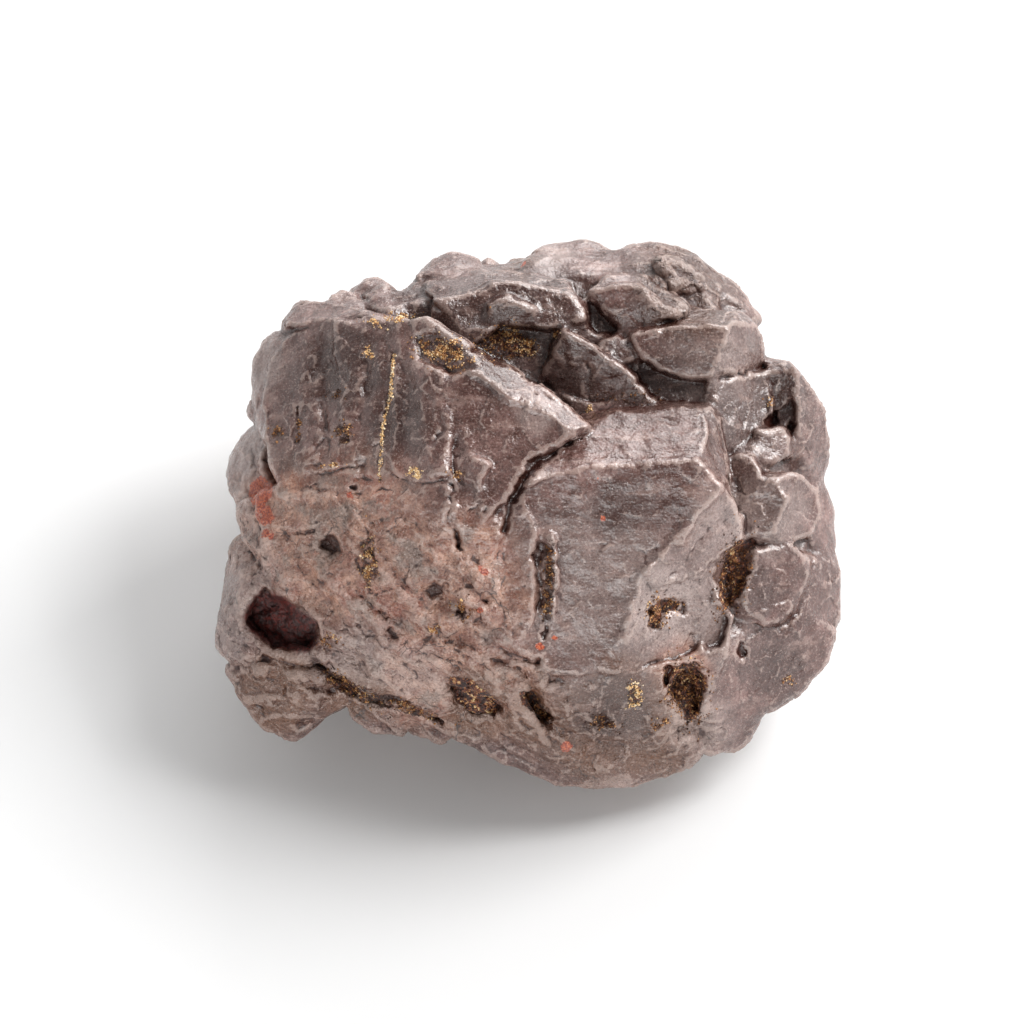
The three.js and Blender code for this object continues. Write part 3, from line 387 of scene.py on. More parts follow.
# A ridge: its points u, v; its half width and height.
RIDGES = {
    "cube_crease": ([(15.3, 2.2), (12.2, -2), (9, -4.4), (7.4, -10)], 0.9, 0.32),
    "cube_crease_low": ([(16.7, -2), (13.8, -4.4), (10.2, -6), (9, -10)], 0.8, 0.25),
    "slab_upright_a": ([(-10.2, 13.2), (-10.4, 10), (-10.3, 6.8), (-10.8, 2.8)], 1.1, 0.2),
    "slab_upright_b": ([(-7.8, 12.4), (-8.6, 9.2), (-8, 6), (-7.4, 3.6)], 1.6, 0.3),
    "slab_upright_c": ([(-14.6, 13.6), (-14.2, 10.8), (-15, 8.4), (-14.2, 5.2)], 1.8, 0.3),
    "slab_upright_d": ([(-17.4, 13.6), (-18.1, 10), (-17.4, 6.8), (-18.2, 4)], 1.7, 0.28),
    "mass_ridge_b": ([(-19, -2.4), (-15, -5.6), (-10.6, -10), (-6.2, -14)], 0.9, 0.4),
    "mass_ridge_c": ([(-14.2, -2), (-10.2, -6), (-7, -10), (-2.2, -14)], 0.9, 0.35),
    "mass_ridge_d": ([(-10.2, -0.4), (-6.2, -4.4), (-3, -8.4)], 0.8, 0.3),
    "foot_a": ([(-23.4, -12.8), (-19.8, -12.2), (-16.6, -13.2)], 0.6, 0.4),
    "foot_b": ([(-22.6, -14.8), (-19.4, -14.2), (-15.8, -14.8)], 0.6, 0.4),
    "foot_c": ([(-21, -16.4), (-18.2, -15.8), (-16.2, -16.2)], 0.5, 0.35),
    "mass_ridge": ([(-19.8, -6.2), (-16.7, -8.5), (-13.1, -11), (-9.8, -14.4)], 0.8, 0.5),
    "rim_a": ([(-22.6, 1.6), (-22, -2), (-22.6, -5.4), (-23.2, -9.6)], 0.7, 0.4),
    "rim_b": ([(-21.4, 1.4), (-20.6, -1.6), (-21, -4.8)], 0.6, 0.3),
    "rim_c": ([(-21.4, 8.4), (-20.9, 5.6), (-21.4, 4), (-20.4, 1.6)], 0.6, 0.5),
    "rim_d": ([(-22.6, 5), (-22.2, 3.4), (-22.9, 1.6)], 0.5, 0.4),
    "rim_e": ([(-22.4, -3.6), (-21.2, -4.8), (-21, -6.2), (-22.8, -7.6), (-23, -9.4), (-21, -11.2)],
        0.5, 0.4),
    "strata_a": ([(-7, -10), (-3.8, -11.3), (-0.8, -13), (0.8, -15.6), (1, -18)], 0.6, 0.4),
    "strata_b": ([(-8.6, -11), (-4.6, -12.4), (-1.6, -14.4), (-0.6, -17)], 0.5, 0.3),
}


def segment_distance(places, start, end):
    along = end - start
    share = np.clip(((places - start) @ along) / (along @ along), 0, 1)
    return np.linalg.norm(places - start - share[:, None] * along, axis=1)


def line_distance(places, line):
    line = np.array(line)
    return np.min([segment_distance(places, a, b) for a, b in zip(line, line[1:])], axis=0)


def inside_distance(places, polygon):
    """How far inside a polygon each place lies: negative outside it."""
    following = np.roll(polygon, -1, axis=0)
    distance = np.min([segment_distance(places, a, b) for a, b in zip(polygon, following)], axis=0)
    inside = np.zeros(len(places), bool)
    u, v = places.T
    for (start_u, start_v), (end_u, end_v) in zip(polygon, following):
        if start_v != end_v:
            crossing = start_u + (v - start_v) * (end_u - start_u) / (end_v - start_v)
            inside ^= ((start_v > v) != (end_v > v)) & (u < crossing)
    return np.where(inside, distance, -distance)


def around_line(places, line, reach):
    """Which places are near enough to a line to be measured."""
    low, high = np.min(line, axis=0) - reach, np.max(line, axis=0) + reach
    return np.flatnonzero(np.all((places > low) & (places < high), axis=1))


def wandered(skin, coarse, fine):
    """Places on the best face, shifted by chance so that a feature's edge wanders."""
    show, facing = skin.show()
    shift = np.stack(
        [
            coarse * Noise(seed)(skin.points / COARSE_WANDER)
            + fine * Noise(seed + 1)(skin.points / FINE_WANDER)
            for seed in (31, 33)
        ],
        axis=1,
    )
    return show, show[:, :2] + shift, facing


def plane_faces(skin):
    """Cuts the best face's crystals to their flat faces."""
    show, straight, facing = wandered(skin, *STRAIGHT)
    _, ragged, _ = wandered(skin, *RAGGED)
    uneven = sum(height * Noise(seed)(skin.points / length) for seed, length, height in FLOOR_WAVES)
    height = show[:, 2].copy()
    for name, corners in FACES.items():
        corners = np.array(corners)
        hollow = name in HOLLOWS
        places = ragged if hollow else straight
        slope, *_ = np.linalg.lstsq(np.c_[corners[:, :2], np.ones(len(corners))], corners[:, 2], rcond=None)
        near = around_line(places, corners[:, :2], 2 * FACE_EDGE)
        inside = inside_distance(places[near], corners[:, :2])
        share = smoothstep(-FACE_EDGE, FACE_EDGE, inside)
        plane = show[near, :2] @ slope[:2] + slope[2] + (uneven[near] if hollow else 0)
        own = (show[near, 2] > plane - FACE_REACH) & (facing[near] > FACE_FACING)
        height[near] += (plane - height[near]) * share * own
    skin.points += SHOW_AXES[2] * (height - show[:, 2])[:, None]


def pit_profile(places, pit):
    u, v, across, along, depth, turn = pit
    angle = math.radians(turn)
    away = places - (u, v)
    x = (away[:, 0] * math.cos(angle) + away[:, 1] * math.sin(angle)) / across
    y = (-away[:, 0] * math.sin(angle) + away[:, 1] * math.cos(angle)) / along
    return depth * (1 - smoothstep(0.45, 1.05, np.hypot(x, y)))


def line_profile(places, features, sharp):
    """How deep or high a set of lines is at each place."""
    total = np.zeros(len(places))
    for line, width, height in features.values():
        near = around_line(places, line, width)
        share = np.clip(1 - line_distance(places[near], line) / width, 0, 1)
        total[near] = np.maximum(total[near], height * share**sharp)
    return total


def opening(skin):
    """How far open a crack is at each point."""
    return smoothstep(-0.25, 0.2, Noise(OPENING_SEED)(skin.points / OPENING_LENGTH))


def cut_depth(places, open_share):
    """How deep the pits and cracks are at each place of the best face: a crack opens and closes."""
    cut = line_profile(places, GAPS, 0.8)
    cut = np.maximum(cut, line_profile(places, CRACKS, 1.2) * (0.15 + 0.85 * open_share))
    for pit in PITS.values():
        cut = np.maximum(cut, pit_profile(places, pit))
    return cut


def carve(skin):
    """Pits, cracks and ridges of the best face."""
    show, places, facing = wandered(skin, *CARVED)
    front = smoothstep(-0.05, 0.3, facing) * smoothstep(-6, -2, show[:, 2])
    raised = line_profile(places, RIDGES, 1.5)
    cut = cut_depth(places, opening(skin))
    skin.points += SHOW_AXES[2] * ((raised - cut) * front)[:, None]


def pocks(points, size, share, seed):
    """Round pits at chance places all over, half as deep as they are wide."""
    noise = Noise(seed)
    rng = np.random.default_rng(seed)
    jitter = rng.uniform(0.1, 0.9, size=(Noise.SIZE, 3))
    reach = np.where(rng.uniform(size=Noise.SIZE) < share, rng.uniform(0.15, 0.45, size=Noise.SIZE), 0.01)
    scaled = points / size
    cell = np.floor(scaled).astype(int)
    depth = np.zeros(len(points))
    for step in itertools.product((-1, 0, 1), repeat=3):
        number = noise.cell_number(cell + step)
        away = np.linalg.norm(scaled - (cell + step + jitter[number]), axis=1)
        depth = np.maximum(depth, reach[number] * (1 - smoothstep(0.35 * reach[number], reach[number], away)))
    return depth * size


ROUGH_FIELDS = [
    (12, 19, 4), (-14, -5, 8), (-7, -8, 7), (-19, -10, 7), (-9, -14, 7), (-2, -15, 5), (4, -18, 5),
    (-21, -2, 4), (12, -18, 4),
]
STRATA_TURN = math.radians(-38)  # how the layers of the rough mass run on the best face
STRATA_LENGTH = 5.0
STRATA_SPACING = 2.1


def roughness_map(skin):
    """0 on the smooth crystal faces that show, 1 on the rough mass, and between them on the hidden sides."""
    show, facing = skin.show()
    rough = blotch(show[:, :2], ROUGH_FIELDS)
    return np.maximum(rough, smoothstep(0.2, -0.2, facing) * 0.45)


def caked(skin):
    """Clods of the sand caked in the pits."""
    show, facing = skin.show()
    crust = grit_mask(show[:, :2]) * smoothstep(0.0, 0.3, facing)
    return crust * (0.35 * folded(Noise(55)(skin.points / 0.9)) + 0.25 * Noise(56)(skin.points / 0.5))


FOLD_LEVEL = 0.3  # where folded noise is neither raised nor cut


def folded(noise):
    """Noise folded at its middle: sharp crests between rounded hollows."""
    return FOLD_LEVEL - np.abs(noise)


def strata(skin):
    """Layers of the rough mass: long low ridges side by side."""
    show, _ = skin.show()
    along = show[:, 0] * math.cos(STRATA_TURN) + show[:, 1] * math.sin(STRATA_TURN)
    across = show[:, 1] * math.cos(STRATA_TURN) - show[:, 0] * math.sin(STRATA_TURN)
    across = across + 0.9 * Noise(51)(skin.points / 3.5)
    place = np.stack([along / STRATA_LENGTH, across / STRATA_SPACING, show[:, 2] / STRATA_LENGTH], axis=1)
    return folded(Noise(52)(place))


# Noise worked into the skin: seed, wavelength, height on the smooth faces, and how much more on the rough.
WAVES = [(44, 3.6, 0.16, 0.20), (45, 1.6, 0.08, 0.14)]
SCOOPS = [(53, 4.0, 0.34, 0.10), (54, 1.7, 0.14, 0.08)]
GRAIN = [(47, 0.8, 0.05, 0.04), (48, 0.45, 0.02, 0.03)]
CHIP_SIZE = 1.9


def layered(points, rough, layers, shape=lambda noise: noise):
    return sum(
        (height + more * rough) * shape(Noise(seed)(points / length)) for seed, length, height, more in layers
    )


def roughen(skin):
    """Works waves, chips, scoops, layers, grain, pocks and caked sand into the skin."""
    points = skin.points
    rough = roughness_map(skin)
    waves = layered(points, rough, WAVES)
    bent = points + 0.3 * Noise(42)(points / 1.5)[:, None]
    chips = (0.05 + 0.04 * rough) * facets(bent, CHIP_SIZE, 43)
    scoops = layered(points, rough, SCOOPS, folded)
    ridged = 0.35 - np.abs(Noise(46)(points / 1.3))
    grain = layered(points, rough, GRAIN)
    holes = pocks(points, 1.5, 0.10, 49) * (0.2 + 0.4 * rough)
    holes = np.maximum(holes, pocks(points, 0.8, 0.25, 50) * rough * 0.5)
    layers = rough * (0.16 * ridged + 1.05 * strata(skin))
    skin.push(waves + chips + scoops + layers + grain - 0.8 * holes + caked(skin))


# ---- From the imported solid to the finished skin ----


def placed(name, data):
    """A new object in the scene."""
    obj = bpy.data.objects.new(name, data)
    bpy.context.scene.collection.objects.link(obj)
    return obj


def modified(obj, kind, **settings):
    """The object's mesh after one modifier, without the object."""
    modifier = obj.modifiers.new("work", kind)
    for name, value in settings.items():
        setattr(modifier, name, value)
    made = bpy.data.meshes.new_from_object(obj.evaluated_get(bpy.context.evaluated_depsgraph_get()))
    bpy.data.objects.remove(obj)
    return made


def fused(mesh, voxel):
    return modified(placed("work", mesh), "REMESH", mode="VOXEL", voxel_size=voxel * MM)


def thinned(mesh, skin, ratio):
    """Fewer triangles, most of them kept where the best face shows."""
    _, facing = skin.show()
    hidden = smoothstep(0.15, -0.15, facing) > 0.5
    obj = placed("work", mesh)
    group = obj.vertex_groups.new(name="hidden")
    for chosen, weight in ((~hidden, SHOWN_THINNING), (hidden, 1.0)):
        group.add(np.flatnonzero(chosen).tolist(), weight, "REPLACE")
    return modified(obj, "DECIMATE", ratio=ratio, vertex_group="hidden")


def one_piece(mesh):
    """The mesh without crumbs that hang free of it."""
    edges = np.empty(2 * len(mesh.edges), np.int64)
    mesh.edges.foreach_get("vertices", edges)
    starts, ends = edges.reshape(-1, 2).T
    label = np.arange(len(mesh.vertices))
    while np.any(label[starts] != label[ends]):
        lower = np.minimum(label[starts], label[ends])
        np.minimum.at(label, label[starts], lower)
        np.minimum.at(label, label[ends], lower)
        label = label[label]
    crumbs = np.flatnonzero(label != np.bincount(label).argmax())
    if len(crumbs):
        shape = bmesh.new()
        shape.from_mesh(mesh)
        shape.verts.ensure_lookup_table()
        bmesh.ops.delete(shape, geom=[shape.verts[i] for i in crumbs], context="VERTS")
        shape.to_mesh(mesh)
        shape.free()
    return mesh


def write_points(mesh, points):
    """Moves the mesh's points, and keeps them in the solid's box."""
    low, high = (np.array(corner) for corner in CAD_BOX)
    mesh.vertices.foreach_set("co", np.clip(points * MM, low, high).astype(np.float32).ravel())
    mesh.update()


def write_value(mesh, name, values):
    attribute = mesh.attributes.new(name, "FLOAT", "POINT")
    attribute.data.foreach_set("value", np.clip(values, 0, 1).astype(np.float32))


def blotch(places, spots):
    """How strongly each place lies in a set of soft round spots, u, v and radius."""
    total = np.zeros(len(places))
    for u, v, radius in spots:
        away = np.hypot(places[:, 0] - u, places[:, 1] - v)
        total = np.maximum(total, 1 - smoothstep(0.45 * radius, 1.2 * radius, away))
    return total


# Soft round spots of each colour: u, v and radius.
BLUSH = [
    (-14, -3, 8.5), (-6, -6, 7), (-19, -1, 6), (-8, -12, 6), (-2, -14, 4), (12, -12, 2.5),
]
SLATE = [
    (6, -6, 8), (12, -8, 6), (19, 0, 4), (18, 8, 4), (9, -14, 5), (14, 12, 5),
]
UMBER = [
    (-4, -15.4, 3.4), (-20, -14, 4.0), (0.5, -16, 3.2), (5, -17, 5), (10, -17, 5), (-14, -14, 3),
    (7, -15, 4), (-0.5, 20, 1.6), (13, 18.4, 4.5),
]
RUST = [
    (-21.4, 1.8, 1.5), (-20.8, 0.2, 1.2), (5.4, 3.2, 0.3), (6.0, -0.2, 0.3), (1.0, -10.4, 0.5),
    (3.0, -18.4, 0.7), (-14.2, 1.4, 0.4), (2.2, -9.6, 0.3), (-20.8, -1.6, 0.8), (-3.6, -4.6, 0.6),
    (-3.8, -7.2, 0.4), (-0.4, 19.8, 0.5),
]
# Painted highlights, with paler crust: the bright left rim, the slab's tip, the large cube's right and the
# lower pink mass, among others.
HIGHLIGHT_AND_PALE_CRUST_SPOTS = [
    (0.5, 8, 2.0), (-22.4, -4, 3), (-13, -11.4, 3), (-9, -12.4, 3), (15, -0.6, 3.4), (11, -7, 4),
    (2, 21, 2), (-22.6, 0, 2.4), (-22.4, 5, 2.4), (-24, -6, 3), (-25, -10, 2.4), (-22, 12, 3),
    (13.6, -17, 3),
]
# Painted shade, with darker crust: spots on the crest, valley, small crystal, undercut, niche, prow and other
# faces that lie in shade.
SHADE_AND_DARK_CRUST_SPOTS = [
    (7, -15.4, 4), (14, 18.4, 4.5), (0.4, 16.6, 5), (-4, 16.4, 4), (16.4, 7.6, 3.4), (12, 17.6, 4),
    (17.6, 7.6, 2.8), (20.2, 9.4, 3.2), (-2, 13, 3), (4.6, 12.4, 4), (10, 10.4, 3), (7, 0.8, 2.6),
    (-14, 12, 4), (-10, 8, 3), (18, -6, 2.4), (20, -12, 3), (-9, 17.6, 2),
]


# Crusts of sand: corners u, v of each.
GRIT = {
    "slot_floor": [(1.3, -2.3), (2.1, -2.3), (2, -8.2), (1.2, -8.4)],
    "groove": [(-17, -11.2), (-16, -12.2), (-14.2, -13.2), (-12.2, -14.1), (-9.8, -14.6), (-7, -16),
        (-7.2, -16.6), (-10.2, -15.6), (-12.6, -15.2), (-14.8, -14.4), (-16.4, -13.2)],
    "ridge_cluster": [(-8.6, 13.6), (-7, 14.2), (-4.8, 13.2), (-4.4, 12.4), (-6.2, 11.9), (-8, 12.4)],
    "valley": [(-2.6, 15), (-0.4, 14.6), (0.8, 13.4), (0.6, 12.4), (-2, 12.6), (-3.6, 13.6)],
    "slab_green": [(-15.2, 7.2), (-14.2, 7.2), (-14, 5.6), (-15, 5.4)],
    "slab_red": [(-20.6, 7.4), (-19.6, 7), (-19.4, 6.2), (-20.4, 6.2)],
    "pink_patch": [(-13.2, -1.8), (-12.2, -1.6), (-11.8, -4.6), (-12.6, -6), (-13.4, -4.6)],
    "cream_patch": [(7.8, -13.2), (9.2, -13.4), (9, -15.4), (8, -15.2)],
    "bottom": [(4.8, -15.8), (6.8, -16), (7, -17), (5.2, -17.2)],
}
GRIT_FACES = ("deep_pit", "grain_pit", "hook", "brown_hollow", "lower_slot")
COLOUR_WANDER = 1.6  # how far the edges of the soft spots wander


def grit_mask(places):
    """Where sand is caked on: thick in the pits and thinner elsewhere."""
    total = np.zeros(len(places))
    beds = [(np.array(GRIT[name]), 0.62) for name in GRIT]
    beds += [(np.array(FACES[name])[:, :2], 1.0) for name in GRIT_FACES]
    for outline, amount in beds:
        near = around_line(places, outline, 0.8)
        share = amount * smoothstep(-0.7 + 0.5 * amount, 0.25, inside_distance(places[near], outline))
        total[near] = np.maximum(total[near], share)
    return total


def paint(mesh, skin, cut):
    """Writes the masks that the material reads."""
    show, facing = skin.show()
    front = smoothstep(-0.2, 0.25, facing)
    wander = np.stack([Noise(61)(skin.points / 3), Noise(62)(skin.points / 3)], axis=1)
    places = show[:, :2] + COLOUR_WANDER * wander
    back = 1 - front
    chance, other = Noise(63)(skin.points / 9), Noise(64)(skin.points / 7)
    small, wide = skin.bulge(3), skin.bulge(40)
    front_places = show[:, :2]
    hollow = smoothstep(0.08, 0.6, -wide) * 0.7 + smoothstep(0.15, 0.8, cut) * 0.6
    hollow += smoothstep(0.005, 0.05, -small) * 0.5
    hole = inside_distance(front_places + 0.3 * wander, np.array(FACES["hole"])[:, :2])
    masks = {
        # Paler ridges: real wear, and a painted highlight along the edges.
        "wear_and_ridge_highlight": smoothstep(0.003, 0.03, small) * 0.7 + smoothstep(0.05, 0.4, wide) * 0.5,
        "grit": front * grit_mask(front_places + 0.35 * wander),
        # The pale spots are painted highlights and paler crust.
        "pale": front * blotch(places, HIGHLIGHT_AND_PALE_CRUST_SPOTS),
        # The dark spots are painted shade and darker crust. The hidden sides are darker at random.
        "shade_and_dark_crust": front * blotch(places, SHADE_AND_DARK_CRUST_SPOTS) + back * (0.4 + 0.5 * smoothstep(0.0, 0.3, -other)),
        "hollow": hollow,
        "rough": roughness_map(skin),
        "blush": front * blotch(places, BLUSH) + back * 0.7 * smoothstep(0.05, 0.4, chance),
        "slate": front * blotch(places, SLATE) + back * smoothstep(0.05, 0.4, -chance),
        "umber": front * blotch(places, UMBER) + back * smoothstep(0.0, 0.35, other),
        "maroon": front * smoothstep(-0.1, 0.25, hole),
        "rust": front * blotch(front_places + 0.9 * wander, RUST),
    }
    for name, values in masks.items():
        write_value(mesh, name, values)


def make_stone():
    """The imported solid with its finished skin, in place of the solid."""
    mesh = fused(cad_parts["stone"].data.copy(), FIRST_VOXEL)
    skin = Skin(mesh)
    skin.wear(HIDDEN_WEAR)
    sharper = skin.points.copy()
    skin.wear(FIRST_WEAR - HIDDEN_WEAR)
    hidden = smoothstep(0.2, -0.2, skin.show()[1])[:, None]
    skin.points = sharper * hidden + skin.points * (1 - hidden)
    plane_faces(skin)
    write_points(mesh, skin.points)
    mesh = one_piece(fused(mesh, VOXEL))
    skin = Skin(mesh)
    skin.wear(WEAR_PASSES)
    carve(skin)
    roughen(skin)
    write_points(mesh, skin.points)
    triangles = len(skin.triangles)
    if triangles > MOST_TRIANGLES:
        mesh = thinned(mesh, skin, MOST_TRIANGLES / triangles)
    mesh.materials.clear()
    skin = Skin(mesh)
    show, facing = skin.show()
    paint(mesh, skin, cut_depth(show[:, :2], opening(skin)) * smoothstep(0, 0.3, facing))
    mesh.polygons.foreach_set("use_smooth", np.ones(len(mesh.polygons), bool))
    stone = placed("stone_skin", mesh)
    mesh.materials.append(stone_material())
    return stone


# ---- Materials ----


class Nodes:
    """Short ways to add and join shader nodes."""

    def __init__(self, name):
        self.material = bpy.data.materials.new(name)
        self.material.use_nodes = True
        self.tree = self.material.node_tree
        self.shader = self.tree.nodes["Principled BSDF"]

    def add(self, kind, inputs=None, **settings):
        node = self.tree.nodes.new(kind)
        for name, value in settings.items():
            setattr(node, name, value)
        for name, value in (inputs or {}).items():
            self.feed(node.inputs[name], value)
        return node

    def feed(self, socket, value):
        if isinstance(value, bpy.types.NodeSocket):
            self.tree.links.new(value, socket)
        else:
            socket.default_value = value

    def place(self, scale, stretch=(1, 1, 1)):
        """Object coordinates in millimetres over a wavelength."""
        coords = self.add("ShaderNodeTexCoord").outputs["Object"]
        size = [stretch[k] / (MM * scale) for k in range(3)]
        return self.add("ShaderNodeMapping", {"Vector": coords, "Scale": size}).outputs["Vector"]

    def noise(self, scale, detail=4.0, roughness=0.55, stretch=(1, 1, 1)):
        inputs = {
            "Vector": self.place(scale, stretch),
            "Scale": 1.0,
            "Detail": detail,
            "Roughness": roughness,
        }
        return self.add("ShaderNodeTexNoise", inputs).outputs["Fac"]

    def band(self, value, low, high, bottom=0.0, top=1.0):
        inputs = {"Value": value, "From Min": low, "From Max": high, "To Min": bottom, "To Max": top}
        return self.add("ShaderNodeMapRange", inputs, interpolation_type="SMOOTHSTEP").outputs["Result"]

    def mask(self, name):
        return self.add("ShaderNodeAttribute", attribute_name=name).outputs["Fac"]

    def cells(self, scale):
        """Pebbles: a node that gives a chance tone for each, and the distance from its middle."""
        return self.add("ShaderNodeTexVoronoi", {"Vector": self.place(scale), "Scale": 1.0})

    def folds(self, scale):
        """Sharp-bottomed folds: 0 along each."""
        value = self.noise(scale, 5, 0.6)
        return self.band(self.maths("ABSOLUTE", self.maths("SUBTRACT", value, 0.5), 0.0), 0.0, 0.1, 1.0, 0.0)

    def cracks(self, scale, width):
        """Thin cracks between large cells, open here and there."""
        bend = self.add("ShaderNodeTexNoise", {"Vector": self.place(scale / 2), "Scale": 1.0, "Detail": 4.0})
        place = self.add("ShaderNodeVectorMath", operation="MULTIPLY_ADD")
        self.feed(place.inputs[0], bend.outputs["Color"])
        place.inputs[1].default_value = (0.7, 0.7, 0.7)
        self.feed(place.inputs[2], self.place(scale))
        inputs = {"Vector": place.outputs["Vector"], "Scale": 1.0}
        edge = self.add("ShaderNodeTexVoronoi", inputs, feature="DISTANCE_TO_EDGE").outputs["Distance"]
        return self.times(self.band(edge, 0.0, width, 1.0, 0.0), self.band(self.noise(3.4, 2), 0.54, 0.60))

    def ramp(self, value, stops):
        """A colour for each value, from stops of a place and a screen colour."""
        node = self.add("ShaderNodeValToRGB", {"Fac": value})
        elements = node.color_ramp.elements
        while len(elements) < len(stops):
            elements.new(0.5)
        for element, (place, colour) in zip(elements, stops):
            element.position = place
            element.color = linear(*colour)
        return node.outputs["Color"]

    def maths(self, operation, a, b):
        node = self.add("ShaderNodeMath", operation=operation)
        self.feed(node.inputs[0], a)
        self.feed(node.inputs[1], b)
        return node.outputs["Value"]

    def plus(self, a, b):
        return self.maths("ADD", a, b)

    def times(self, a, b):
        return self.maths("MULTIPLY", a, b)

    def mix(self, share, a, b):
        node = self.add("ShaderNodeMix", data_type="RGBA")
        self.feed(node.inputs["Factor"], share)
        colours = [socket for socket in node.inputs if socket.type == "RGBA"]
        self.feed(colours[0], a)
        self.feed(colours[1], b)
        return next(socket for socket in node.outputs if socket.type == "RGBA")


def linear(red, green, blue):
    """A colour as the shader takes it, from its 0 to 255 screen values."""
    def straight(value):
        share = value / 255
        return share / 12.92 if share <= 0.04045 else ((share + 0.055) / 1.055) ** 2.4

    return (straight(red), straight(green), straight(blue), 1.0)


# Colours of the stone, in screen values.
TINTS = {
    "taupe_low": (90, 61, 55),
    "taupe_high": (126, 97, 91),
    "taupe_dark": (72, 44, 38),
    "slate": (126, 109, 104),
    "pink_pale": (192, 150, 130),
    "pink_deep": (136, 90, 72),
    "pink_red": (164, 96, 76),
    "pink_grey": (140, 122, 112),
    "umber_dark": (78, 45, 29),
    "umber_light": (134, 91, 63),
    # dark: painted shade and darker crust.
    "shade_and_dark_crust": (66, 42, 37),
    # pale: painted highlights and paler crust.
    "pale": (196, 178, 172),
    "speck_pale": (208, 190, 180),
    "speck_dark": (50, 33, 28),
    "stripe_dark": (62, 40, 35),
    "stripe_pale": (190, 162, 152),
    # edge: the paler ridges, real wear and a painted highlight.
    "edge": (206, 184, 174),
    "hollow": (62, 30, 22),
    "crack": (44, 28, 24),
    "rust_dark": (136, 50, 34),
    "rust_light": (196, 108, 72),
    "maroon_dark": (52, 7, 2),
    "maroon_light": (122, 36, 20),
}

# Colours by place on a ramp, in screen values.
CRUST_TONES = [
    (0.0, (36, 14, 9)),
    (0.42, (76, 34, 21)),
    (0.62, (132, 72, 42)),
    (0.80, (190, 134, 82)),
    (0.92, (244, 216, 164)),
]
GRAIN_TONES = [
    (0.0, (50, 30, 22)),
    (0.3, (98, 64, 44)),
    (0.55, (176, 126, 80)),
    (0.75, (230, 192, 138)),
    (1.0, (252, 240, 214)),
]


STONE_IOR = 1.9
# How strongly each mask tints the stone.
# The dark mask paints shade and the pale mask paints highlights, as well as darker and paler crust.
MASK_SHARES = {"slate": 0.7, "blush": 0.9, "umber": 0.9, "shade_and_dark_crust": 0.75, "pale": 0.35}


def tint(name):
    return linear(*TINTS[name])


